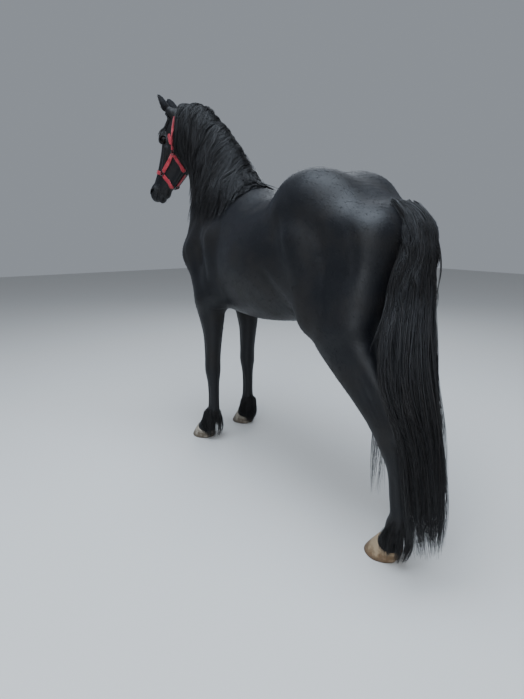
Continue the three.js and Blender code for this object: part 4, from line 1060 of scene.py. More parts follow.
@dataclass(frozen=True)
class HairFinish:
    """Long hair, whose locks differ a little in shade."""

    name: str
    dark: tuple[float, float, float] = (0.003, 0.0031, 0.0042)
    light: tuple[float, float, float] = (0.016, 0.0135, 0.013)
    roughness: float = 0.4

    def material(self) -> bpy.types.Material:
        """Return the material."""
        s = Shader(self.name)
        shade = s.node("ShaderNodeAttribute", {"attribute_name": "shade"}, out="Fac")
        wave = s.noise(s.place((14, 14, 5)), 3.0, 2.0)
        colour = s.mix(s.range(shade * 0.7 + wave * 0.3, 0.2, 0.95, 0.0, 1.0), self.dark, self.light)
        fine = s.noise(s.place((420, 420, 30)), 3.0, 2.0)
        rough = s.range(fine, 0.3, 0.7, self.roughness - 0.08, self.roughness + 0.12)
        return s.finish(
            Base_Color=colour, Roughness=rough, Normal=s.bump(fine, 0.2, 0.001), Specular_IOR_Level=0.4
        )


@dataclass(frozen=True)
class HornFinish:
    """Hoof horn with growth rings, dry patches and a pale band below the coronet."""

    name: str
    horn: tuple[float, float, float]
    pale: tuple[float, float, float]
    dark: tuple[float, float, float] = (0.055, 0.04, 0.028)
    middle: tuple[float, float] = (0.0, 0.0)
    crown: float = 0.068

    def material(self) -> bpy.types.Material:
        """Return the material."""
        s = Shader(self.name)
        place = s.place(middle=(self.middle[0], self.middle[1], 0))
        height = s.node("ShaderNodeSeparateXYZ", {}, {0: place}, out="Z")
        grain = s.noise(s.place((150, 150, 18)), 4.0, 4.0, 0.65)
        patches = s.noise(place, 26.0, 4.0, 0.6)
        rings = s.node(
            "ShaderNodeTexWave", {"wave_type": "BANDS", "bands_direction": "Z"},
            {
                "Vector": place, "Scale": 42.0, "Distortion": 1.6, "Detail": 2.0, "Detail Scale": 1.0
            }, out="Fac",
        )
        body = s.mix(s.range(grain, 0.35, 0.7, 0.0, 1.0), self.horn, self.dark)
        body = s.mix(s.range(patches, 0.5, 0.68, 0.0, 0.75), body, self.pale)
        top = s.range(height + patches * 0.02, self.crown * 0.72, self.crown * 1.02, 0.0, 0.8)
        body = s.mix(top, body, self.pale)
        foot = s.range(height, 0.0, 0.014, 0.55, 0.0)
        body = s.mix(foot, body, self.dark)
        normal = s.bump(rings * 0.5 + grain * 0.5, 0.45, 0.0016)
        return s.finish(Base_Color=body, Roughness=s.range(patches, 0.3, 0.7, 0.5, 0.78), Normal=normal)


@dataclass(frozen=True)
class EyeFinish:
    """A dark wet eye with a brown iris and a wide dark pupil."""

    name: str
    middle: tuple[float, float, float]
    outward: tuple[float, float, float]
    radius: float
    iris: tuple[float, float, float] = (0.013, 0.0065, 0.004)

    def material(self) -> bpy.types.Material:
        """Return the material."""
        s = Shader(self.name)
        place = s.place(middle=self.middle)
        front = s.node(
            "ShaderNodeVectorMath", {"operation": "DOT_PRODUCT"}, {0: place, 1: self.outward}, out="Value"
        )
        height = s.node("ShaderNodeSeparateXYZ", {}, {0: place}, out="Z")
        ring = s.range(front, self.radius * 0.72, self.radius * 0.86, 0.0, 1.0)
        streaks = s.noise(s.place((200, 200, 900)), 2.0, 3.0)
        brown = s.mix(streaks, self.iris, (0.006, 0.0035, 0.0025))
        white = s.mix(ring, (0.006, 0.004, 0.0035), brown)
        flat = s.node("ShaderNodeMath", {"operation": "ABSOLUTE"}, {0: height})
        pupil = s.range(flat, self.radius * 0.2, self.radius * 0.3, 1.0, 0.0) * s.range(
            front, self.radius * 0.84, self.radius * 0.9, 0.0, 1.0
        )
        colour = s.mix(pupil, white, (0.002, 0.0025, 0.004))
        rough = s.range(streaks, 0.3, 0.7, 0.26, 0.34)
        return s.finish(Base_Color=colour, Roughness=rough, Specular_IOR_Level=0.09)


@dataclass(frozen=True)
class WebFinish:
    """Red woven nylon webbing, a little faded and dusty, with painted shade in the grooves of its weave."""

    name: str = "webbing"
    red: tuple[float, float, float] = (0.52, 0.022, 0.045)
    # The darker red is painted shade for the grooves of the weave.
    dark: tuple[float, float, float] = (0.24, 0.008, 0.018)
    faded: tuple[float, float, float] = (0.62, 0.12, 0.13)

    def material(self) -> bpy.types.Material:
        """Return the material; its own UV map runs in metres along and across the strap."""
        s = Shader(self.name)
        place = s.node("ShaderNodeUVMap", {"uv_map": "Weave"})
        cross = s.node(
            "ShaderNodeTexWave",
            {"bands_direction": "X", "wave_profile": "SIN"},
            {"Vector": place, "Scale": 210.0},
            out="Fac",
        )
        rib = s.node(
            "ShaderNodeTexWave",
            {"bands_direction": "Y", "wave_profile": "SIN"},
            {"Vector": place, "Scale": 150.0},
            out="Fac",
        )
        dust = s.noise(s.place(), 30.0, 4.0)
        height = cross * rib
        # Painted shade: the low parts of the weave take the darker red.
        colour = s.mix(s.range(height, 0.1, 0.8, 0.0, 1.0), self.dark, self.red)
        colour = s.mix(s.range(dust, 0.5, 0.75, 0.0, 0.5), colour, self.faded)
        return s.finish(
            Base_Color=colour, Roughness=s.range(
                dust, 0.3, 0.7, 0.55, 0.8
            ), Normal=s.bump(height, 0.5, 0.0006),
            Sheen_Weight=0.2, Sheen_Roughness=0.4,
        )


@dataclass(frozen=True)
class MetalFinish:
    """Dark plated iron of the rings."""

    name: str = "iron"

    def material(self) -> bpy.types.Material:
        """Return the material."""
        s = Shader(self.name)
        wear = s.noise(s.place(), 90.0, 4.0)
        colour = s.mix(s.range(wear, 0.45, 0.7, 0.0, 1.0), (0.03, 0.03, 0.034), (0.16, 0.15, 0.14))
        return s.finish(Base_Color=colour, Roughness=s.range(wear, 0.3, 0.7, 0.3, 0.5), Metallic=0.85)


@dataclass
class Skin:
    """The one skin of the trunk, neck, head and legs."""

    form: SkinForm
    placing: Placing
    cell: float = 12.3
    quick_cell: float = 16.0
    low: tuple[float, float, float] = (-1500, -380, 20)
    high: tuple[float, float, float] = (900, 380, 2240)

    def _refine(self, bm: bmesh.types.BMesh, wanted: Callable[[Array], Array]) -> None:
        """Split the faces in a region."""
        middles = np.array([f.calc_center_median()[:] for f in bm.faces])
        mask = wanted(middles)
        edges = {e for f, hit in zip(bm.faces, mask) if hit for e in f.edges}
        bmesh.ops.subdivide_edges(bm, edges=list(edges), cuts=1, use_grid_fill=True)

    def _settle(
        self, bm: bmesh.types.BMesh, turns: int, only: Callable[[Array], Array] | None = None
    ) -> None:
        """Even the mesh out and lay its points on the skin."""
        points = np.array([v.co[:] for v in bm.verts])
        pick = np.arange(len(points)) if only is None else np.flatnonzero(only(points))
        edges = np.array([[e.verts[0].index, e.verts[1].index] for e in bm.edges])
        for _ in range(turns):
            sums = np.zeros_like(points)
            count = np.zeros(len(points))
            for a, b in ((0, 1), (1, 0)):
                np.add.at(sums, edges[:, a], points[edges[:, b]])
                np.add.at(count, edges[:, a], 1)
            middle = sums / count[:, None]
            points[pick] += 0.5 * (middle - points)[pick]
            points[pick] = SkinForm.form_level(points[pick], self.form.at, 0, 2)
        for v, p in zip(bm.verts, points):
            v.co = p

    def _near_face(self, points: Array, details: Sequence[tuple[Array, float]]) -> Array:
        """Return where points are near any of the given places."""
        hit = np.zeros(len(points), dtype=bool)
        for place, radius in details:
            hit |= np.linalg.norm(points - place, axis=1) < radius
        return hit

    def build(self) -> bpy.types.Object:
        """Return the skin as one piece that stands for the flesh of the solids."""
        cell = self.cell
        vertices, quads = SurfaceNet(self.form.at, np.array(self.low), np.array(self.high), cell).mesh()
        mesh = bpy.data.meshes.new("raw")
        mesh.from_pydata(vertices.tolist(), [], quads.tolist())
        bm = bmesh.new()
        bm.from_mesh(mesh)
        bpy.data.meshes.remove(mesh)
        bmesh.ops.recalc_face_normals(bm, faces=bm.faces)
        self._number(bm)
        self._settle(bm, 2)
        head = self.form.form.head

        def in_head(points: Array) -> Array:
            """Return which points are on the head."""
            local = head.local(points)
            return (local[:, 0] > -30) & (
                local[:, 1] > -0.55 * local[:, 0] - 190
            ) & (points[:, 0] > 480) & (local[:, 1] > -215)

        def in_feet(points: Array) -> Array:
            """Return which points are on the lower legs."""
            return points[:, 2] < 640

        spots = [(self.form.eyes[s][0], 44.0) for s in Side]
        spots += [(head.on(556, 2, s * 44), 34.0) for s in Side]
        self._refine(bm, lambda p: in_head(p) | in_feet(p))
        self._number(bm)
        self._settle(bm, 1, lambda p: in_head(p) | in_feet(p))
        lips = [
            (head.on(a, -42, b), 26.0) for a, b in (
                (515, 36), (550, 40), (590, 26), (608, 0), (590, -26), (550, -40), (515, -36)
            )
        ]
        near = [*spots, *lips]
        self._refine(bm, lambda p: self._near_face(p, near))
        self._number(bm)
        self._settle(bm, 1, lambda p: self._near_face(p, [(c, r + 12) for c, r in near]))
        bmesh.ops.recalc_face_normals(bm, faces=bm.faces)
        out = bpy.data.meshes.new("skin")
        bm.to_mesh(out)
        bm.free()
        points = np.empty(len(out.vertices) * 3)
        out.vertices.foreach_get("co", points)
        out.vertices.foreach_set("co", self.placing.metres(points.reshape(-1, 3)).ravel())
        out.polygons.foreach_set("use_smooth", [True] * len(out.polygons))
        out.update()
        piece = self.placing.show("skin", out, CoatFinish().material())
        legs = [f"{part}_{word}" for part in ("leg", "fetlock") for word in LEGS]
        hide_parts("torso", "neck", "head", "tail", *legs)
        return piece

    @staticmethod
    def _number(bm: bmesh.types.BMesh) -> None:
        """Number the points and faces again."""
        bm.verts.ensure_lookup_table()
        bm.verts.index_update()
        bm.faces.ensure_lookup_table()
        bm.edges.ensure_lookup_table()


@dataclass
class Strands:
    """Locks of hair: each one's line, the way it faces, its widths, its root's patch and its shade."""

    lines: Array
    faces: Array
    widths: Array
    patches: Array
    shades: Array
    keys: ClassVar[tuple[str, ...]] = ("lines", "faces", "widths", "patches", "shades")

    @staticmethod
    def together(parts: Sequence[Strands]) -> Strands:
        """Join sets of locks with the same number of points."""
        return Strands(*(np.concatenate([getattr(p, key) for p in parts]) for key in Strands.keys))


class LockMaker:
    """Makes solid tapered locks along lines, by a Geometry Nodes tree that is applied at once."""

    patch = 0.003
    sides = 3
    most = 190000

    def __init__(self, placing: Placing) -> None:
        """Keep the placing."""
        self.placing = placing

    def _tree(self, flatness: float, material: bpy.types.Material) -> bpy.types.NodeTree:
        """Build the tree that sweeps a flat section along each line."""
        tree = bpy.data.node_groups.new("locks", "GeometryNodeTree")
        tree.interface.new_socket("Lines", in_out="INPUT", socket_type="NodeSocketGeometry")
        tree.interface.new_socket("Sides", in_out="INPUT", socket_type="NodeSocketInt")
        tree.interface.new_socket("Flatness", in_out="INPUT", socket_type="NodeSocketFloat")
        tree.interface.new_socket("Finish", in_out="INPUT", socket_type="NodeSocketMaterial")
        tree.interface.new_socket("Locks", in_out="OUTPUT", socket_type="NodeSocketGeometry")
        nodes = tree.nodes
        given = nodes.new("NodeGroupInput")
        result = nodes.new("NodeGroupOutput")

        def named(name: str, kind: str) -> bpy.types.NodeSocket:
            """Return an attribute of the lines."""
            node = nodes.new("GeometryNodeInputNamedAttribute")
            node.data_type = kind
            node.inputs["Name"].default_value = name
            return node.outputs["Attribute"]

        curve = nodes.new("GeometryNodeMeshToCurve")
        tree.links.new(given.outputs["Lines"], curve.inputs["Mesh"])
        normal = nodes.new("GeometryNodeSetCurveNormal")
        normal.mode = "FREE"
        tree.links.new(curve.outputs["Curve"], normal.inputs["Curve"])
        tree.links.new(named("facing", "FLOAT_VECTOR"), normal.inputs["Normal"])
        circle = nodes.new("GeometryNodeCurvePrimitiveCircle")
        circle.inputs["Radius"].default_value = 0.5
        tree.links.new(given.outputs["Sides"], circle.inputs["Resolution"])
        combine = nodes.new("ShaderNodeCombineXYZ")
        combine.inputs[1].default_value = 1.0
        combine.inputs[2].default_value = 1.0
        tree.links.new(given.outputs["Flatness"], combine.inputs[0])
        flat = nodes.new("GeometryNodeTransform")
        tree.links.new(circle.outputs["Curve"], flat.inputs["Geometry"])
        tree.links.new(combine.outputs[0], flat.inputs["Scale"])
        sweep = nodes.new("GeometryNodeCurveToMesh")
        sweep.inputs["Fill Caps"].default_value = True
        tree.links.new(normal.outputs["Curve"], sweep.inputs["Curve"])
        tree.links.new(flat.outputs["Geometry"], sweep.inputs["Profile Curve"])
        tree.links.new(named("width", "FLOAT"), sweep.inputs["Scale"])
        round_off = nodes.new("GeometryNodeSetShadeSmooth")
        tree.links.new(sweep.outputs["Mesh"], round_off.inputs["Geometry"])
        real = nodes.new("GeometryNodeRealizeInstances")
        tree.links.new(round_off.outputs["Geometry"], real.inputs["Geometry"])
        dress = nodes.new("GeometryNodeSetMaterial")
        tree.links.new(real.outputs["Geometry"], dress.inputs["Geometry"])
        tree.links.new(given.outputs["Finish"], dress.inputs["Material"])
        tree.links.new(dress.outputs["Geometry"], result.inputs["Locks"])
        self.values = {"Sides": self.sides, "Flatness": flatness, "Finish": material}
        return tree

    def spread(
        self, name: str, strands: Strands, material: bpy.types.Material, flatness: float = 0.6
    ) -> None:
        """Make the given locks as pieces that each stay below the largest number of triangles."""
        count, points, _ = strands.lines.shape
        each = 2 * self.sides * (points - 1) + 2 * (self.sides - 2)
        pieces = math.ceil(count * each / self.most)
        for number in range(pieces):
            part = Strands(*(getattr(strands, key)[number::pieces] for key in Strands.keys))
            self.make(name if pieces == 1 else f"{name}_{number + 1}", part, material, flatness)

    def make(
        self, name: str, strands: Strands, material: bpy.types.Material, flatness: float = 0.6
    ) -> bpy.types.Object:
        """Return one piece of coat made of the given locks."""
        count, points, _ = strands.lines.shape
        mesh = bpy.data.meshes.new(name + "_lines")
        index = np.arange(count * points).reshape(count, points)
        edges = np.stack([index[:, :-1].ravel(), index[:, 1:].ravel()], axis=1)
        mesh.from_pydata(self.placing.metres(strands.lines.reshape(-1, 3)).tolist(), edges.tolist(), [])

        def put(key: str, kind: str, values: Array) -> None:
            """Write one value for each point of the lines."""
            layer = mesh.attributes.new(key, kind, "POINT")
            layer.data.foreach_set(
                "vector" if kind == "FLOAT_VECTOR" else "value",
                np.ascontiguousarray(values, dtype=np.float32).ravel(),
            )

        along = np.tile(np.linspace(0, 1, points), (count, 1))
        root = np.concatenate([strands.patches, np.zeros((count, 1))], axis=1)
        put("facing", "FLOAT_VECTOR", unit(strands.faces).reshape(-1, 3))
        put("width", "FLOAT", strands.widths.reshape(-1) * MM)
        put("patch", "FLOAT_VECTOR", np.repeat(root[:, None], points, axis=1))
        put("along", "FLOAT", along)
        put("shade", "FLOAT", np.repeat(strands.shades[:, None], points, axis=1))
        carrier = bpy.data.objects.new(name + "_lines", mesh)
        bpy.context.scene.collection.objects.link(carrier)
        modifier = carrier.modifiers.new("locks", "NODES")
        tree = self._tree(flatness, material)
        modifier.node_group = tree
        for item in tree.interface.items_tree:
            if item.in_out == "INPUT" and item.name in self.values:
                modifier[item.identifier] = self.values[item.name]
        graph = bpy.context.evaluated_depsgraph_get()
        made = bpy.data.meshes.new_from_object(carrier.evaluated_get(graph))
        made.name = name
        bpy.data.objects.remove(carrier)
        bpy.data.node_groups.remove(tree)
        self._unwrap(made)
        piece = self.placing.show(name, made)
        return piece

    def _unwrap(self, mesh: bpy.types.Mesh) -> None:
        """Give each lock its small patch at its root's place on a rough unwrap, not the skin's exact one."""
        total = len(mesh.vertices)
        patch = np.empty(total * 3, dtype=np.float32)
        along = np.empty(total, dtype=np.float32)
        mesh.attributes["patch"].data.foreach_get("vector", patch)
        mesh.attributes["along"].data.foreach_get("value", along)
        corner = np.empty(len(mesh.loops), dtype=np.int32)
        mesh.loops.foreach_get("vertex_index", corner)
        across = (np.arange(total) % self.sides) / (self.sides - 1) - 0.5
        flat = patch.reshape(-1, 3)[:, :2] + self.patch * np.stack([across, along - 0.5], axis=1)
        layer = mesh.uv_layers.new(name="OFBake")
        layer.data.foreach_set("uv", np.clip(flat, 0.001, 0.999)[corner].astype(np.float32).ravel())
        for key in ("patch", "along", "facing", "width"):
            if key in mesh.attributes:
                mesh.attributes.remove(mesh.attributes[key])


def tapering(points: int, root: float = 0.7, widest: float = 0.35, tip: float = 0.12) -> Array:
    """Return how wide a lock is along its length, against its widest."""
    t = np.linspace(0, 1, points)
    rise = root + (1 - root) * np.sin(np.clip(t / widest, 0, 1) * math.pi / 2)
    fall = 1 - (1 - tip) * np.clip((t - widest) / (1 - widest), 0, 1) ** 1.5
    return np.where(t < widest, rise, fall)


@dataclass
class Clumps:
    """Splits guiding lines into fine locks that gather towards their tips."""

    random: np.random.Generator
    each: int
    width: float
    spread: float
    depth: float
    gather: float = 0.55
    wave: float = 4.0
    ragged: float = 0.18

    def split(self, lines: Array, faces: Array, patches: Array) -> Strands:
        """Return fine locks round each guiding line.

        Args:
            lines: Guiding lines, as lines by points by 3.
            faces: The way each point of a line faces.
            patches: Each line's place on the rough unwrap.

        Returns:
            The locks.
        """
        count, points, _ = lines.shape
        t = np.linspace(0, 1, points)
        tangent = unit(np.gradient(lines, axis=1))
        out = unit(faces - (faces * tangent).sum(axis=2, keepdims=True) * tangent)
        side = np.cross(tangent, out)
        parts = []
        for _ in range(self.each):
            across = self.random.uniform(-1, 1, count)
            lift = self.random.uniform(0, 1, count) ** 1.5
            phase = self.random.uniform(0, ROUND, (count, 1))
            beat = self.random.uniform(7, 12, (count, 1))
            sway = self.wave * np.sin(phase + beat * t) * t
            gather = 1 - self.gather * t
            shift = across[:, None] * self.spread * gather + sway * self.random.uniform(0.4, 1, (count, 1))
            rise = lift[:, None] * self.depth * (0.25 + 0.75 * np.minimum(1, 4 * t)) * (1 - 0.5 * t)
            full = lines + side * shift[..., None] + out * rise[..., None]
            short = 1 - self.ragged * self.random.uniform(0, 1, count) ** 2
            place = short[:, None] * t * (points - 1)
            low = np.minimum(place.astype(int), points - 2)
            part = (place - low)[..., None]
            rows = np.arange(count)[:, None]
            line = full[rows, low] * (1 - part) + full[rows, low + 1] * part
            face = out[rows, low]
            lean = self.random.uniform(-0.7, 0.7, (count, 1, 1))
            width = self.width * self.random.uniform(0.6, 1.25, (count, 1)) * tapering(points)[None]
            parts.append(
                Strands(
                    line, unit(face + side * lean), width, patches, self.random.uniform(0, 1, count) ** 1.6
                )
            )
        return Strands.together(parts)


@dataclass
class ShortCoat:
    """Short tufts all over the skin, which lie back and down along it, smallest on the face and feet."""

    form: HorseForm
    random: np.random.Generator
    count: int = 26000
    points: int = 3
    body_long: float = 15.0
    face_long: float = 6.0
    foot_long: float = 8.0
    lift: float = 0.13
    sunk: float = 1.6

    def _samples(self, skin: bpy.types.Mesh) -> tuple[Array, Array]:
        """Return places spread evenly over the skin, and the way it faces there, in the horse's own frame."""
        total = len(skin.polygons)
        size = np.empty(total)
        middle = np.empty(total * 3)
        facing = np.empty(total * 3)
        skin.polygons.foreach_get("area", size)
        skin.polygons.foreach_get("center", middle)
        skin.polygons.foreach_get("normal", facing)
        picked = self.random.choice(total, self.count, p=size / size.sum())
        reach = np.sqrt(size[picked])[:, None] * 500
        places = middle.reshape(-1, 3)[picked] * 1000
        out = facing.reshape(-1, 3)[picked]
        loose = self.random.uniform(-1, 1, places.shape) * reach
        return places + loose - out * (loose * out).sum(axis=1, keepdims=True), out

    def _lie(self, places: Array) -> tuple[Array, Array]:
        """Return the way the hair lies at each place and how long it is there."""
        head = self.form.head
        local = head.local(places)
        on_head = smooth(local[:, 0], -20, 60) * smooth(places[:, 0], 470, 560) * smooth(
            places[:, 2], 1480, 1600
        )
        low = 1 - smooth(places[:, 2], 700, 950)
        way = np.tile(np.array([-1.0, 0.0, -0.42]), (len(places), 1))
        way = way * (1 - low[:, None]) + np.array([-0.18, 0.0, -1.0]) * low[:, None]
        way = way * (1 - on_head[:, None]) + head.along * on_head[:, None]
        long = self.body_long + (self.foot_long - self.body_long) * (1 - smooth(places[:, 2], 250, 800))
        return way, long + (self.face_long - long) * on_head

    def strands(self, skin: bpy.types.Mesh, shift: Array) -> Strands:
        """Return the tufts over the skin; the patches lie by length and height, so both flanks share places."""
        places, out = self._samples(skin)
        places = places - shift
        way, long = self._lie(places)
        way = way + self.random.normal(0, 0.16, way.shape)
        way = unit(way - (way * out).sum(axis=1, keepdims=True) * out)
        long = long * self.random.uniform(0.6, 1.15, len(places))
        t = np.linspace(0, 1, self.points)
        rise = -self.sunk + (self.sunk + self.lift * long)[:, None] * np.sqrt(t)
        lines = places[:, None] + way[:, None] * (
            long[:, None] * t
        )[..., None] + out[:, None] * rise[..., None]
        widths = (0.1 * long)[:, None] * tapering(self.points, tip=0.15)[None]
        patches = np.stack(
            [0.02 + 0.96 * (places[:, 0] + 1500) / 2450, 0.02 + 0.96 * places[:, 2] / 2250], axis=1
        )
        faces = np.repeat(out[:, None], self.points, axis=1)
        return Strands(lines, faces, widths, patches, self.random.uniform(0, 0.6, len(places)))


@dataclass
class Whiskers:
    """Fine single hairs of the muzzle and chin, and the lashes over the eyes."""

    form: SkinForm
    random: np.random.Generator
    points: int = 6

    def _grow(self, roots: Array, way: Array, long: Array, thick: float, droop: float) -> Strands:
        """Return tapered hairs that bend down a little."""
        t = np.linspace(0, 1, self.points)
        lines = roots[:, None] + way[:, None] * (long[:, None] * t)[..., None]
        lines[..., 2] -= droop * long[:, None] * t**2
        faces = np.broadcast_to(np.array(UP), lines.shape).copy()
        widths = np.tile(thick * tapering(self.points, 1.0, 0.2, 0.25), (len(roots), 1))
        return Strands(lines, faces, widths, np.full((len(roots), 2), 0.5), np.full(len(roots), 0.1))

    def muzzle(self) -> Strands:
        """Return the whiskers."""
        head = self.form.form.head
        count = 46
        along = self.random.uniform(510, 600, count)
        front = self.random.uniform(-100, -20, count)
        side = self.random.choice([-1.0, 1.0], count) * self.random.uniform(14, 44, count)
        roots = np.array([head.on(a, f, b) for a, f, b in zip(along, front, side)])
        roots = SkinForm.form_level(roots, self.form.form.whole, -2)
        out = unit(SkinForm.slope(roots, self.form.form.whole)[1])
        way = unit(out + 0.5 * head.along + self.random.normal(0, 0.2, roots.shape))
        return self._grow(roots, way, self.random.uniform(16, 38, count), 0.7, 0.25)

    def lashes(self, side: Side) -> Strands:
        """Return the lashes of one eye's upper lid."""
        centre, axes = self.form.eyes[side]
        across, up, outward = axes
        count = 44
        turn = self.random.uniform(-0.85, 0.85, count)
        half = self.form.eye_half
        lid = self.form.upper_lid
        raise_by = lid * np.sqrt(np.clip(1 - (turn * 0.98) ** 2, 0, 1)) + 1.5
        sign = 1.0 if up @ self.form.form.head.brow > 0 else -1.0
        roots = centre + across * (turn * half)[:, None] + sign * up * raise_by[:, None]
        roots = SkinForm.form_level(roots + outward * self.form.form.head.eye_radius, self.form.at, 0.0)
        way = unit(
            outward + across * (0.5 * turn)[:, None] - 0.15 * sign * up + self.random.normal(
                0, 0.1, roots.shape
            )
        )
        return self._grow(roots - way * 1.5, way, self.random.uniform(9, 15, count), 0.7, 0.45)


@dataclass
class Mane:
    """The mane and forelock: long waved hair that falls to the left of the crest and down the forehead."""

    form: SkinForm
    random: np.random.Generator
    count: int = 320
    points: int = 13
    ridges: int = 38
    right: float = -84.0
    left: float = 18.0
    last: float = 0.16
    reach: tuple[float, ...] = (130, 400, 540, 520, 450, 380)
    sunk: float = 9.0

    def _march(
        self, roots: Array, lengths: Array, levels: Array, lead: Callable[[float, Array, Array], Array]
    ) -> tuple[Array, Array]:
        """Lead lines over the skin, a step at a time, each kept at its own height over it."""
        skin = self.form.form.whole
        steps = self.points - 1
        _, slope = SkinForm.slope(roots, skin)
        out = unit(slope)
        lines = [roots - out * self.sunk]
        faces = [out]
        p = roots.copy()
        for i in range(steps):
            way = lead(i / steps, out, p)
            way = unit(way - (way * out).sum(axis=1, keepdims=True) * out)
            p = p + way * (lengths / steps)[:, None]
            rise = levels * min(1.0, (i + 1) / 2)
            for _ in range(2):
                value, slope = SkinForm.slope(p, skin)
                steep = np.maximum((slope**2).sum(axis=1), LEAST_STEEP)
                p = p - slope * np.clip((value - rise) / steep, -30, 30)[:, None]
            out = unit(slope)
            lines.append(p.copy())
            faces.append(out)
        return np.stack(lines, axis=1), np.stack(faces, axis=1)

    def crest(self) -> tuple[Array, Array, Array]:
        """Return roots along the crest, the way up there, and each root's share of the way down it."""
        neck = self.form.form.neck
        count = len(neck.centres) - 1
        u = (np.arange(self.count) + self.random.uniform(0.1, 0.9, self.count)) / self.count
        ridge = (np.floor(u * self.ridges) + 0.5) / self.ridges
        u = ridge + 0.72 * (u - ridge)
        place = STEPS * self.last + u * (count - 1.1 - STEPS * self.last)
        low = place.astype(int)
        part = (place - low)[:, None]
        centre = neck.centres[low] * (1 - part) + neck.centres[low + 1] * part
        up = unit(neck.ups[low] * (1 - part) + neck.ups[low + 1] * part)
        size = neck.sizes[low, 0]
        roots = centre + up * size[:, None]
        roots = SkinForm.form_level(roots, self.form.form.whole, 0)
        roots[:, 1] += self.random.uniform(self.right, self.left, self.count)
        return SkinForm.form_level(roots, self.form.form.whole, 0), up, u

    def guides(self) -> tuple[Array, Array, Array]:
        """Return the mane's guiding lines, the way they face and their patches."""
        roots, up, u = self.crest()
        length = np.interp(
            u, np.linspace(0, 1, len(self.reach)), self.reach
        ) * self.random.uniform(0.85, 1.12, self.count)
        ridge = np.cos(math.pi * (u * self.ridges % 1 - 0.5)) ** 2
        levels = self.random.uniform(0.2, 1, self.count) * (10 + 15 * ridge) * np.clip(0.25 + 6 * u, 0, 1)
        sway = self.random.uniform(-0.2, 0.2, self.count)
        phase = self.random.uniform(0, ROUND, self.count)

        def lead(t: float, out: Array, p: Array) -> Array:
            """Return the way the hair runs there."""
            way = -0.75 * (1 - t) * up
            way[:, 2] -= 0.35 + 0.75 * t
            way[:, 1] += 1.5 * max(0.0, 1 - 3 * t)
            way[:, 0] += sway + 0.32 * np.sin(phase + 13 * t)
            return way

        lines, faces = self._march(roots, length, levels, lead)
        patches = np.stack([0.1 + 0.8 * u, 0.5 + 0.02 * (roots[:, 1] / 20)], axis=1)
        return lines, faces, patches

    def forelock(self) -> tuple[Array, Array, Array]:
        """Return the forelock's guiding lines."""
        head = self.form.form.head
        count = 30
        across = self.random.uniform(-1, 1, count)
        roots = np.array([head.on(30 + 12 * abs(a), 70, a * 24) for a in across])
        roots = SkinForm.form_level(roots, self.form.form.whole, 0)
        lengths = 250 * (1 - 0.3 * np.abs(across)) * self.random.uniform(0.8, 1.1, count)
        levels = self.random.uniform(1, 7, count)
        drift = (0.25 * across + self.random.uniform(-0.08, 0.08, count))[:, None]

        def lead(t: float, out: Array, p: Array) -> Array:
            """Return the way the hair runs there."""
            return head.along + head.left * drift * (1 - t)

        lines, faces = self._march(roots, lengths, levels, lead)
        return lines, faces, np.stack([0.5 + 0.1 * across, np.full(count, 0.5)], axis=1)


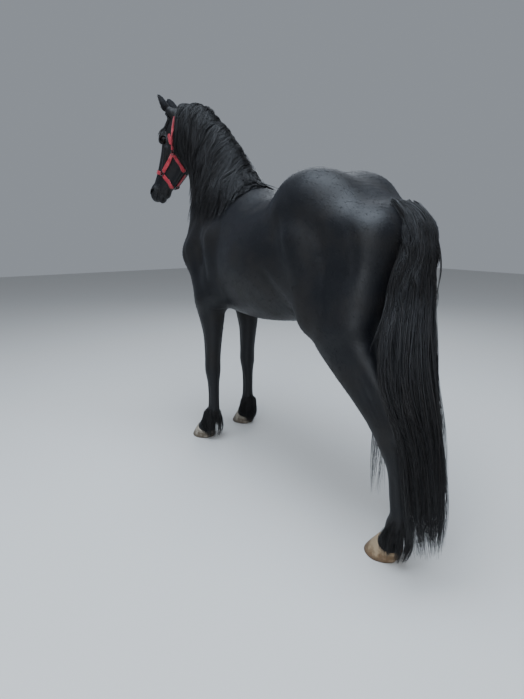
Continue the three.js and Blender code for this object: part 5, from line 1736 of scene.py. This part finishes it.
@dataclass
class TailForm:
    """The tail's course and its width, and the locks that hang round it."""

    random: np.random.Generator
    count: int = 330
    points: int = 20
    wisps: int = 26
    stray: int = 23
    dock: int = 110
    hug: float = 0.88
    low: float = 146.0
    stations: tuple[tuple[float, ...], ...] = (
        (-1096, 0, 1412, -0.5, 0, 0.85, 62, 46, 62),
        (-1186, 4, 1384, -0.8, 0, 0.6, 66, 58, 72),
        (-1238, 20, 1280, -1, 0, 0, 70, 66, 86),
        (-1246, 44, 1172, -1, 0, 0, 75, 70, 100),
        (-1264, 68, 1075, -1, 0, 0, 76, 74, 107),
        (-1298, 124, 965, -1, 0, 0, 86, 82, 121),
        (-1352, 182, 825, -1, 0, 0, 92, 88, 130),
        (-1424, 226, 694, -1, 0, 0, 83, 80, 118),
        (-1482, 234, 555, -1, 0, 0, 66, 66, 92),
        (-1521, 240, 390, -1, 0, 0, 62, 62, 88),
        (-1534, 235, 247, -1, 0, 0, 56, 56, 78),
        (-1541, 224, 150, -1, 0, 0, 44, 44, 62),
    )

    def __post_init__(self) -> None:
        """Sample the course."""
        self.tube = Tube([(s[:3], s[3:6], s[6], s[7], s[8]) for s in self.stations], 30, 26)

    def at(self, t: Array) -> tuple[Array, Array]:
        """Return the centre and the sizes at each share of the way down."""
        place = np.clip(t, 0, 1) * (len(self.tube.centres) - 1)
        low = np.minimum(place.astype(int), len(self.tube.centres) - 2)
        part = (place - low)[..., None]
        centre = self.tube.centres[low] * (1 - part) + self.tube.centres[low + 1] * part
        size = self.tube.sizes[low] * (1 - part) + self.tube.sizes[low + 1] * part
        return centre, size

    def core(self) -> tuple[Array, Array]:
        """Return the dock and the dense middle of the hair, which ends half way down."""
        rings = 26
        sides = 20
        points = []
        t = np.linspace(0, 0.56, rings)
        centre, size = self.at(t)
        axis = unit(np.gradient(centre, axis=0))
        slim = np.interp(t, [0, 0.1, 0.2, 0.5, 0.56], [0.9, 0.86, 0.74, 0.66, 0.2])
        for i in range(rings):
            side = np.array([0.0, 1.0, 0.0])
            up = unit(np.cross(axis[i], side))
            for k in range(sides):
                angle = 2 * math.pi * k / sides
                points.append(
                    centre[i] + slim[i] * (
                        up * math.cos(angle) * size[i, 0] + side * math.sin(angle) * size[i, 2]
                    )
                )
        faces = sleeve(rings - 1, sides)
        faces.append(list(range(sides)))
        faces.append([(rings - 1) * sides + k for k in reversed(range(sides))])
        return np.array(points), faces

    def guides(self, skin: Field) -> tuple[Array, Array, Array]:
        """Return the tail's guiding lines, the way they face and their patches."""
        n = self.count
        angle = np.arange(n) * GOLDEN + self.random.uniform(0, 0.4, n)
        tier = self.random.uniform(0.35, 1.0, n) ** 0.7
        start = self.random.uniform(0.02, 0.34, n) * self.random.uniform(0.3, 1, n)
        short = np.arange(n) < self.dock
        start = np.where(short, self.random.uniform(0, 0.16, n), start)
        end = np.where(short, start + self.random.uniform(0.14, 0.4, n), 0.985)
        t = np.linspace(0, 1, self.points)
        share = start[:, None] + (end - start)[:, None] * t
        centre, size = self.at(share)
        front = np.cos(angle)[:, None]
        wide = np.sin(angle)[:, None]
        side = np.array([0.0, 1.0, 0.0])
        ahead = unit(np.cross(unit(np.gradient(centre, axis=1)), side))
        reach = front * np.where(front > 0, size[..., 1], size[..., 0])
        offset = ahead * reach[..., None] + side * (wide * size[..., 2])[..., None]
        grow = np.where(short[:, None], self.hug + 0.1 * t, tier[:, None] * np.minimum(1, 0.62 + 2 * t))
        far = np.where(np.arange(n)[:, None] % self.stray == 0, 1 + 0.32 * t, 1.0)
        points = centre + offset * (grow * far)[..., None]
        phase = self.random.uniform(0, ROUND, (n, 1))
        beat = self.random.uniform(17, 25, (n, 1)) * (end - start)[:, None]
        points[..., 1] += (7 * np.sin(phase * 2.3 + 9 * t) + 7 * np.sin(phase + beat * t)) * np.sqrt(t)
        points[..., 0] += 11 * np.cos(phase * 1.7 + 11 * t) * t
        loose = np.arange(n) >= n - self.wisps
        drop = self.random.uniform(0.55, 1, (n, 1)) * 1150 * t**0.9
        inward = smooth(t, 0.1, 0.5)
        apart = np.stack([
            -1205 + 52 * inward - 16 * np.sin(phase + 5 * t),
            6 + 72 * inward + 30 * np.sin(angle)[:, None] + 9 * np.cos(phase + 12 * t),
            1290 - drop,
        ], axis=-1)
        points[loose] = apart[loose]
        lowest = self.low + 150 * self.random.uniform(0, 1, (n, 1)) ** 2.2
        lowest = np.where(short[:, None], points[:, -1:, 2], lowest)
        points[..., 2] = np.where(
            loose[:, None],
            points[..., 2],
            np.maximum(points[..., 2] + (lowest - points[:, -1:, 2]) * t**3, lowest),
        )
        out = unit(offset)
        flat = points.reshape(-1, 3)
        value = skin(flat)
        close = value < 10
        if close.any():
            flat[close] = SkinForm.form_level(flat[close], skin, 10, 3)
        patches = np.stack([(angle / 6.2832) % 1 * 0.8 + 0.1, 0.1 + 0.8 * start], axis=1)
        return flat.reshape(points.shape), out, patches


@dataclass
class Feathers:
    """The long hair behind each fetlock, which hangs over the heels."""

    form: HorseForm
    random: np.random.Generator
    count: int = 94
    points: int = 7
    top: float = 240
    low: float = 150
    half: float = 2.15

    def guides(self, leg: Leg) -> tuple[Array, Array, Array]:
        """Return the guiding lines of one leg's feather."""
        n = self.count
        around = self.random.uniform(-1, 1, n)
        angle = math.pi + around * self.half
        out = np.stack([np.cos(angle), np.sin(angle), np.zeros(n)], axis=1)
        high = self.random.uniform(self.low, self.top, n) - 30 * np.abs(around)
        core = np.stack([np.full(n, leg.hoof[0] - 76.0), np.full(n, float(leg.hoof[1])), high], axis=1)
        roots = core.copy()
        for _ in range(6):
            roots += out * np.clip(-self.form.body(roots), -25, 25)[:, None]
        tip = (15 + 58 * np.abs(around) ** 2) * self.random.uniform(0.85, 1.35, n)
        t = np.linspace(0, 1, self.points)
        lines = np.repeat(roots[:, None], self.points, axis=1)
        flare = self.random.uniform(4, 24, (n, 1)) * np.sin(math.pi * 0.88 * t)
        lines += out[:, None] * flare[..., None]
        lines[..., 2] = high[:, None] + (tip - high)[:, None] * t
        lines[..., 0] += 12 * t
        lines[:, 0] = roots - out * 6
        shoe = Taper((leg.hoof[0] - 31, leg.hoof[1], 68), (leg.hoof[0], leg.hoof[1], 0), 61, 74)
        flat = lines[:, 1:].reshape(-1, 3)
        level = np.repeat(self.random.uniform(3, 14, n), self.points - 1)

        def skin(points: Array) -> Array:
            """Return the field of the leg and its hoof together."""
            return np.minimum(self.form.body(points), shoe.raw(points))

        close = skin(flat) < level
        if close.any():
            for _ in range(3):
                value, slope = SkinForm.slope(flat[close], skin)
                steep = np.maximum((slope**2).sum(axis=1), LEAST_STEEP)
                flat[close] -= slope * np.clip((value - level[close]) / steep, -30, 30)[:, None]
        lines[:, 1:] = flat.reshape(n, self.points - 1, 3)
        patches = np.stack([0.5 + 0.4 * around, high / 300], axis=1)
        return lines, np.repeat(out[:, None], self.points, axis=1), patches


@dataclass
class Ears:
    """Two cupped ears that turn forwards, with paler hair inside."""

    head: Head
    placing: Placing
    random: np.random.Generator
    rings: int = 36
    arc: int = 20
    wall: float = 4.5
    wrap: float = 2.75
    widths: tuple[tuple[float, float], ...] = (
        (0, 0.62), (0.18, 0.86), (0.42, 1.0), (0.68, 0.9), (0.88, 0.54), (1, 0.06)
    )

    def _frame(self, side: Side) -> tuple[Array, Array, Array, Array, Array]:
        """Return one ear's root, tip and directions."""
        root = self.head.on(self.head.ear_root[0], self.head.ear_root[1], side * self.head.ear_root[2])
        tip = self.head.on(self.head.ear_tip[0], self.head.ear_tip[1], side * self.head.ear_tip[2])
        axis = unit(tip - root)
        face = 0.8 * self.head.along + 0.6 * self.head.brow + 0.55 * side * self.head.left
        face = unit(face - axis * (face @ axis))
        return root, tip, axis, face, np.cross(axis, face)

    def _section(self, side: Side, t: float, turn: float, inner: bool) -> Array:
        """Return one point of the ear's wall.

        Args:
            side: 1 on the left, -1 on the right.
            t: Share of the way from root to tip.
            turn: Share of the way round the cup, from -1 to 1.
            inner: Whether the point is on the inner face.
        """
        root, tip, _, face, across = self._frame(side)
        places = [w[0] for w in self.widths]
        width = self.head.ear_width * float(np.interp(t, places, [w[1] for w in self.widths])) - 0.6
        wide = self.wrap - min(1.0, t * 1.6)
        middle = root + (tip - root) * t + face * (10 * math.sin(math.pi * t) - 4 * t)
        edge = 1 - abs(turn) ** 6
        wall = min(self.wall, width * 0.5) * (0.35 + 0.65 * edge)
        r = width - wall if inner else width
        angle = turn * wide
        return middle - face * (math.cos(angle) * r * 0.9) + across * (math.sin(angle) * r)

    def build(self, side: Side, name: str, material: bpy.types.Material) -> bpy.types.Object:
        """Return one ear as a closed cup."""
        around = 2 * (self.arc + 1)
        points = []
        for i in range(self.rings + 1):
            t = i / self.rings * 0.995
            for k in range(around):
                inner = k > self.arc
                j = around - 1 - k if inner else k
                points.append(self._section(side, t, 2 * j / self.arc - 1, inner))
        faces = sleeve(self.rings, around)
        for base in (0, self.rings * around):
            for j in range(self.arc):
                faces.append([base + j, base + j + 1, base + around - 2 - j, base + around - 1 - j])
        mesh = self.placing.mesh(name, np.array(points), faces)
        face_out(mesh)
        piece = self.placing.show(name, mesh, material)
        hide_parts(name.replace("_cup", ""))
        return piece

    def hair(self, side: Side) -> Strands:
        """Return the paler hair that fills the cup and its dark rim."""
        _, _, axis, face, across = self._frame(side)
        n = 420
        points = 5
        t = self.random.uniform(0.08, 0.8, n)
        turn = self.random.uniform(-1, 1, n)
        rim = self.random.uniform(0, 1, n) < 0.45
        turn = np.where(rim, np.sign(turn) * self.random.uniform(0.86, 1.0, n), turn * 0.85)
        roots = np.array([self._section(side, a, b, True) for a, b in zip(t, turn)])
        lift = np.where(rim, 0.35, 0.7)[:, None] * face + axis * 0.9 - across * (turn * 0.4)[:, None]
        lift = unit(lift + self.random.normal(0, 0.16, (n, 3)))
        long = np.where(rim, 11, 24) * self.random.uniform(0.6, 1.1, n) * (1 - 0.4 * t)
        s = np.linspace(-0.08, 1, points)
        bend = (axis * 0.35)[None, None] * (s**2)[None, :, None] * long[:, None, None]
        lines = roots[:, None] + lift[:, None] * (long[:, None] * s)[..., None] + bend
        widths = np.where(rim, 1.5, 1.7)[:, None] * tapering(points)[None]
        shades = np.where(rim, self.random.uniform(0, 0.25, n), self.random.uniform(0.4, 1.0, n))
        patches = np.stack([0.1 + 0.8 * t, 0.5 + 0.4 * turn], axis=1)
        return Strands(
            lines, np.repeat(np.tile(face, (n, 1))[:, None], points, axis=1), widths, patches, shades
        )


@dataclass
class Eyes:
    """The eyeballs, set deep behind the lids."""

    form: SkinForm
    placing: Placing

    def build(self, side: Side, name: str) -> bpy.types.Object:
        """Return one eyeball with a slightly fuller cornea."""
        centre, axes = self.form.eyes[side]
        radius = self.form.form.head.eye_radius
        bm = bmesh.new()
        bmesh.ops.create_uvsphere(bm, u_segments=48, v_segments=32, radius=radius)
        points = np.array([v.co[:] for v in bm.verts])
        front = np.clip(points[:, 2] / radius, 0, 1)
        points *= (1 + 0.015 * smooth(front, 0.75, 0.95))[:, None]
        points = points @ axes + centre
        for v, p in zip(bm.verts, points):
            v.co = p * MM
        shift = self.placing.shift * MM
        bmesh.ops.translate(bm, verts=bm.verts, vec=Vector(shift))
        bmesh.ops.recalc_face_normals(bm, faces=bm.faces)
        mesh = bpy.data.meshes.new(name)
        bm.to_mesh(mesh)
        bm.free()
        mesh.polygons.foreach_set("use_smooth", [True] * len(mesh.polygons))
        middle = self.placing.metres(centre)
        finish = EyeFinish(name, tuple(middle), tuple(axes[2]), radius * MM)
        piece = self.placing.show(name, mesh, finish.material())
        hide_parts(name.replace("_ball", ""))
        return piece


@dataclass
class Hoof:
    """One hoof: a horn wall with growth rings, a coronet and a flat sole."""

    placing: Placing
    toe: float = 89
    heel: float = 73
    half: float = 74
    crown_back: float = 31
    crown_long: float = 55
    crown_half: float = 61
    crown: float = 68
    crown_rise: float = 0.375
    sides: int = 72
    rings: int = 26

    def build(self, name: str, leg: Leg, finish: HornFinish) -> bpy.types.Object:
        """Return the hoof of one leg."""
        hx, hy = leg.hoof
        points = []
        for i in range(self.rings + 1):
            t = i / self.rings
            foot = min(1.0, t * 14)
            bead = 1.2 * math.exp(-(((t - 0.95) / 0.05) ** 2))
            wave = 0.35 * math.sin(t * 34) * (1 - t)
            grow = bead + wave - 1.2 * (1 - foot)
            front = self.toe + (self.crown_long - self.toe) * t + grow
            back = self.heel + (self.crown_long - self.heel) * t + grow
            half = self.half + (self.crown_half - self.half) * t + grow
            bulge = 1.6 * math.sin(math.pi * t)
            for k in range(self.sides):
                angle = 2 * math.pi * k / self.sides
                c = math.cos(angle)
                narrow = 1 + 0.14 * c if c < 0 else 1.0
                cleft = 1 - 0.1 * math.exp(-(((angle - math.pi) / 0.16) ** 2)) * (1 - 0.4 * t)
                x = c * (front if c > 0 else back * cleft)
                y = math.sin(angle) * (half + bulge) * narrow
                z = (self.crown - 2) * t + self.crown_rise * x * t
                points.append((hx - self.crown_back * t + x, hy + y, max(z, 0.0)))
        faces: list[list[int]] = []
        for i in range(self.rings):
            for k in range(self.sides):
                n = (k + 1) % self.sides
                faces.append(
                    [
                        i * self.sides + k,
                        i * self.sides + n,
                        (i + 1) * self.sides + n,
                        (i + 1) * self.sides + k,
                    ]
                )
        faces.append(list(reversed(range(self.sides))))
        top = self.rings * self.sides
        faces.append([top + k for k in range(self.sides)])
        mesh = self.placing.mesh(name, np.array(points), faces)
        piece = self.placing.show(name, mesh, finish.material())
        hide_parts(name.replace("_wall", ""))
        return piece


@dataclass
class Halter:
    """The web halter: straps folded round four rings, each piece lying on the skin."""

    form: HorseForm
    placing: Placing
    width: float = 25
    thick: float = 3
    clear: float = 2
    ring: float = 14
    wire: float = 2.8

    def __post_init__(self) -> None:
        """Make the finishes."""
        self.web = WebFinish().material()
        self.metal = MetalFinish().material()
        self.cheek = (268, -96, 75)
        self.nose = (425, -36, 52)

    def _on_skin(self, place: Sequence[float], side: Side, level: float) -> Array:
        """Return a place of the head, moved to a height over the skin."""
        point = self.form.head.on(place[0], place[1], side * place[2])
        return SkinForm.form_level(point[None], self.form.whole, level)[0]

    def strap(
        self, name: str, places: Sequence[Array], stands_for: str | None, width: float | None = None
    ) -> bpy.types.Object:
        """Return one strap along places on the skin."""
        sections = 44
        across = 9
        broad = self.width if width is None else width
        raw = spline(np.array(places), 12)
        far = np.concatenate([[0], np.cumsum(np.linalg.norm(np.diff(raw, axis=0), axis=1))])
        wanted = np.linspace(0, far[-1], sections + 1)
        line = np.stack([np.interp(wanted, far, raw[:, k]) for k in range(3)], axis=1)
        tangent = unit(np.gradient(line, axis=0))
        _, slope = SkinForm.slope(line, self.form.whole)
        out = unit(slope)
        side = unit(np.cross(tangent, out))
        end = np.minimum(wanted, far[-1] - wanted)
        folded = np.clip(0.62 + end / 26, 0, 1)
        grid = []
        for j in range(across):
            edge = (j / (across - 1) - 0.5) * broad
            row = line + side * (edge * folded)[:, None]
            row = SkinForm.form_level(row, self.form.whole, self.clear, 3)
            _, steep = SkinForm.slope(row, self.form.whole)
            grid.append((row, unit(steep)))
        points = []
        weave = []
        order = [(j, 0) for j in range(across)] + [(j, 1) for j in reversed(range(across))]
        for i in range(sections + 1):
            for j, top in order:
                row, up = grid[j]
                crown = 0.0 if j in (0, across - 1) else 0.35 * (1 - (2 * j / (across - 1) - 1) ** 4)
                share = 0.6 if j in (0, across - 1) else 0.82
                height = self.thick * share + crown if top else 0.15
                points.append(row[i] + up[i] * height)
                weave.append((wanted[i] * MM, (j / (across - 1)) * broad * MM))
        ring = len(order)
        faces = sleeve(sections, ring)
        for base, flip in ((0, False), (sections * ring, True)):
            for j in range(across - 1):
                quad = [base + j, base + j + 1, base + ring - 2 - j, base + ring - 1 - j]
                faces.append(quad[::-1] if flip else quad)
        mesh = self.placing.mesh(name, np.array(points), faces)
        layer = mesh.uv_layers.new(name="Weave")
        corner = np.empty(len(mesh.loops), dtype=np.int32)
        mesh.loops.foreach_get("vertex_index", corner)
        layer.data.foreach_set("uv", np.array(weave, dtype=np.float32)[corner].ravel())
        face_out(mesh)
        piece = self.placing.show(name, mesh, self.web)
        if stands_for:
            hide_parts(stands_for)
        return piece

    def rings(
        self, name: str, place: Sequence[float], side: Side, stands_for: str | None
    ) -> bpy.types.Object:
        """Return one ring, lying flat over the skin."""
        level = self.clear + self.wire + 0.4
        centre = self._on_skin(place, side, level)
        _, slope = SkinForm.slope(centre[None], self.form.whole)
        up = unit(slope[0])
        first = unit(np.cross(up, self.form.head.brow))
        second = np.cross(up, first)
        around = 48
        tube = 14
        points = []
        for i in range(around):
            a = 2 * math.pi * i / around
            spoke = first * math.cos(a) + second * math.sin(a)
            for k in range(tube):
                b = 2 * math.pi * k / tube
                points.append(
                    centre + spoke * (self.ring + self.wire * math.cos(b)) + up * (self.wire * math.sin(b))
                )
        faces = [
            [
                i * tube + k,
                ((i + 1) % around) * tube + k,
                ((i + 1) % around) * tube + (k + 1) % tube,
                i * tube + (k + 1) % tube,
            ]
            for i in range(around)
            for k in range(tube)
        ]
        mesh = self.placing.mesh(name, np.array(points), faces)
        face_out(mesh)
        piece = self.placing.show(name, mesh, self.metal)
        if stands_for:
            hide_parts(stands_for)
        return piece

    def _between(self, a: Array, b: Array, *more: Array) -> list[Array]:
        """Start and end a strap on the edge of the rings."""
        points = [a, b, *more]
        short = self.ring * 0.55
        first = points[0] + unit(points[1] - points[0]) * short
        last = points[-1] + unit(points[-2] - points[-1]) * short
        return [first, *points[1:-1], last]

    def build(self) -> None:
        """Return nothing; every strap and ring is put on the head."""
        for side in Side:
            word = side.name.lower()
            cheek = self._on_skin(self.cheek, side, self.clear)
            nose = self._on_skin(self.nose, side, self.clear)
            self.rings(f"halter_ring_cheek_{word}_round", self.cheek, side, f"halter_ring_cheek_{word}")
            self.rings(f"halter_ring_nose_{word}_round", self.nose, side, f"halter_ring_nose_{word}")

            def at(*place: float) -> Array:
                """Return a place on this side of the head's skin."""
                return self._on_skin(place, side, self.clear)

            self.strap(
                f"halter_cheekpiece_{word}_web", self._between(cheek, nose), f"halter_cheekpiece_{word}"
            )
            crown = self._between(cheek, at(180, -70, 82), at(100, -40, 78))
            crown[-1] = at(66, -32, 74)
            self.strap(f"halter_crown_{word}_web", crown, f"halter_crown_{word}")
            chin = self._between(nose, at(455, -92, 48), at(484, -134, 24))
            self.strap(f"halter_chin_{word}_web", chin, f"halter_chin_{word}")
            throat = self._between(cheek, at(330, -165, 58), at(372, -204, 28))
            self.strap(f"halter_throat_{word}_web", throat, f"halter_throat_{word}")
        buckle = [(176, -24, 84), (200, -48, 84), (226, -70, 80)]
        end = [self._on_skin(place, Side.LEFT, self.clear) for place in buckle]
        self.strap("halter_strap_end_web", end, None, 29)
        under = ((376, -206, 0), (430, -172, 0), (486, -140, 0))
        jaw = [self._on_skin(place, Side.LEFT, self.clear) for place in under]
        self.strap("halter_jaw_web", self._between(*jaw), None)
        self.rings("halter_ring_jaw_round", (374, -206, 0), Side.LEFT, None)
        self.rings("halter_ring_chin_round", (486, -140, 0), Side.LEFT, None)
        left = self._on_skin(self.nose, Side.LEFT, self.clear)
        right = self._on_skin(self.nose, Side.RIGHT, self.clear)
        middle = [
            self._on_skin((430, 20, 42), Side.LEFT, self.clear),
            self._on_skin((432, 40, 0), Side.LEFT, self.clear),
            self._on_skin((430, 20, 42), Side.RIGHT, self.clear),
        ]
        self.strap("halter_noseband_web", self._between(left, *middle, right), "halter_noseband")


@dataclass(frozen=True)
class View:
    """Where the camera stands, in metres in the horse's own frame."""

    place: tuple[float, float, float] = (-2.476, 1.689, 1.348)
    turn: float = -36.02
    dip: float = 13.85
    focal: float = 485.0
    long_side: float = 699.0
    sensor: float = 36.0

    def build(self, placing: Placing) -> None:
        """Add the camera."""
        camera = bpy.data.cameras.new("camera")
        camera.sensor_width = self.sensor
        camera.lens = self.focal / self.long_side * self.sensor
        camera.clip_end = 60
        piece = bpy.data.objects.new("camera", camera)
        bpy.context.scene.collection.objects.link(piece)
        turn = math.radians(self.turn)
        dip = math.radians(self.dip)
        ahead = Vector((math.cos(dip) * math.cos(turn), math.cos(dip) * math.sin(turn), -math.sin(dip)))
        piece.location = Vector(self.place) + Vector(placing.shift * MM)
        piece.rotation_euler = ahead.to_track_quat("-Z", "Y").to_euler()
        bpy.context.scene.camera = piece


@dataclass(frozen=True)
class Lamp:
    """One soft studio light."""

    name: str
    place: tuple[float, float, float]
    aim: tuple[float, float, float]
    size: float
    power: float
    colour: tuple[float, float, float] = (1.0, 1.0, 1.0)

    def build(self) -> None:
        """Add the light."""
        data = bpy.data.lights.new(self.name, "AREA")
        data.shape = "SQUARE"
        data.size = self.size
        data.energy = self.power
        data.color = self.colour
        lamp = bpy.data.objects.new(self.name, data)
        lamp.location = self.place
        lamp.rotation_euler = (Vector(self.aim) - Vector(self.place)).to_track_quat("-Z", "Y").to_euler()
        bpy.context.scene.collection.objects.link(lamp)


@dataclass(frozen=True)
class Studio:
    """The plain pale floor and the soft light."""

    half: float = 14.0
    floor: tuple[float, float, float] = (0.62, 0.61, 0.59)
    air: tuple[float, float, float, float] = (0.8, 0.87, 0.97, 1.0)
    strength: float = 0.34
    lamps: tuple[Lamp, ...] = (
        Lamp("sky", (-0.7, 0.8, 5.0), (-0.2, 0.0, 0.9), 4.4, 420, (0.76, 0.87, 1.0)),
        Lamp("key", (-3.2, 4.0, 2.6), (-0.1, 0.0, 1.1), 2.8, 120, (0.9, 0.95, 1.0)),
        Lamp("rim", (3.2, -3.0, 3.8), (0.0, 0.0, 1.0), 2.8, 50, (0.85, 0.92, 1.0)),
    )

    def build(self) -> None:
        """Add the floor, the world and the lights."""
        mesh = bpy.data.meshes.new("floor")
        r = self.half
        mesh.from_pydata([(-r, -r, 0), (r, -r, 0), (r, r, 0), (-r, r, 0)], [], [[0, 1, 2, 3]])
        floor = bpy.data.objects.new("floor", mesh)
        bpy.context.scene.collection.objects.link(floor)
        s = Shader("floor")
        mesh.materials.append(s.finish(Base_Color=self.floor, Roughness=0.85))
        world = bpy.data.worlds.new("studio")
        world.use_nodes = True
        back = world.node_tree.nodes["Background"]
        back.inputs["Color"].default_value = self.air
        back.inputs["Strength"].default_value = self.strength
        bpy.context.scene.world = world
        for lamp in self.lamps:
            lamp.build()


class Horse:
    """Builds the whole animal in order."""

    def __init__(self) -> None:
        """Make the forms that the pieces share."""
        self.placing = Placing()
        self.skin_form = SkinForm()
        self.random = np.random.default_rng(907)
        self.hair = HairFinish("hair").material()
        self.inner = HairFinish("ear_hair", (0.012, 0.011, 0.011), (0.17, 0.165, 0.16), 0.6).material()
        self.locks = LockMaker(self.placing)

    def build(self) -> None:
        """Build every piece."""
        View().build(self.placing)
        Studio().build()
        skin = Skin(self.skin_form, self.placing).build()
        short = ShortCoat(self.skin_form.form, self.random)
        self.locks.spread("short_coat", short.strands(skin.data, self.placing.shift), skin.data.materials[0])
        self._head()
        self._feet()
        Halter(self.skin_form.form, self.placing).build()
        self._long_hair()

    def _head(self) -> None:
        """Build the eyes and ears."""
        eyes = Eyes(self.skin_form, self.placing)
        ears = Ears(self.skin_form.form.head, self.placing, self.random)
        whiskers = Whiskers(self.skin_form, self.random)
        self.locks.spread("whiskers", whiskers.muzzle(), self.hair)
        dull = CoatFinish("ear_coat", 0.12, (0.6, 0.8)).material()
        for side in Side:
            word = side.name.lower()
            eyes.build(side, f"eye_{word}_ball")
            self.locks.spread(f"lashes_{word}", whiskers.lashes(side), self.hair)
            ears.build(side, f"ear_{word}_cup", dull)
            self.locks.spread(f"ear_{word}_hair", ears.hair(side), self.inner, 0.8)

    def _feet(self) -> None:
        """Build the hooves and the feathers."""
        feathers = Feathers(self.skin_form.form, self.random)
        horns = {
            "fore_left": ((0.15, 0.12, 0.085), (0.36, 0.32, 0.26)),
            "fore_right": ((0.13, 0.105, 0.08), (0.3, 0.27, 0.22)),
            "hind_left": ((0.2, 0.115, 0.05), (0.36, 0.27, 0.17)),
            "hind_right": ((0.17, 0.11, 0.055), (0.3, 0.24, 0.17)),
        }
        for word, leg in LEGS.items():
            middle = self.placing.metres(np.array([leg.hoof[0], leg.hoof[1], 0.0]))
            horn, pale = horns[word]
            finish = HornFinish(f"horn_{word}", horn, pale, middle=(float(middle[0]), float(middle[1])))
            Hoof(self.placing).build(f"hoof_{word}_wall", leg, finish)
            lines, faces, patches = feathers.guides(leg)
            clumps = Clumps(self.random, 8, 1.8, 8.0, 8.0, 0.45, 3.0)
            self.locks.spread(f"feather_{word}", clumps.split(lines, faces, patches), self.hair)

    def _long_hair(self) -> None:
        """Build the mane, forelock and tail."""
        mane = Mane(self.skin_form, self.random)
        lines, faces, patches = mane.guides()
        clumps = Clumps(self.random, 18, 2.7, 13.0, 8.0, 0.35, 6.0)
        self.locks.spread("mane", clumps.split(lines, faces, patches), self.hair)
        lines, faces, patches = mane.forelock()
        self.locks.spread(
            "forelock",
            Clumps(self.random, 14, 2.2, 10.0, 3.5, 0.4, 4.0).split(lines, faces, patches),
            self.hair,
        )
        tail = TailForm(self.random)
        points, rows = tail.core()
        core = self.placing.mesh("tail_core", points, rows)
        piece = self.placing.show("tail_core", core, self.hair)
        lines, faces, patches = tail.guides(self.skin_form.form.whole)
        clumps = Clumps(self.random, 13, 3.2, 16.0, 9.0, 0.35, 8.0, 0.3)
        self.locks.spread("tail_hair", clumps.split(lines, faces, patches), self.hair)


def main() -> None:
    """Build the horse and its studio, and report each piece."""
    logging.basicConfig(level=logging.INFO, format="%(message)s")
    Horse().build()


if __name__ == "__main__":
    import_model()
    main()
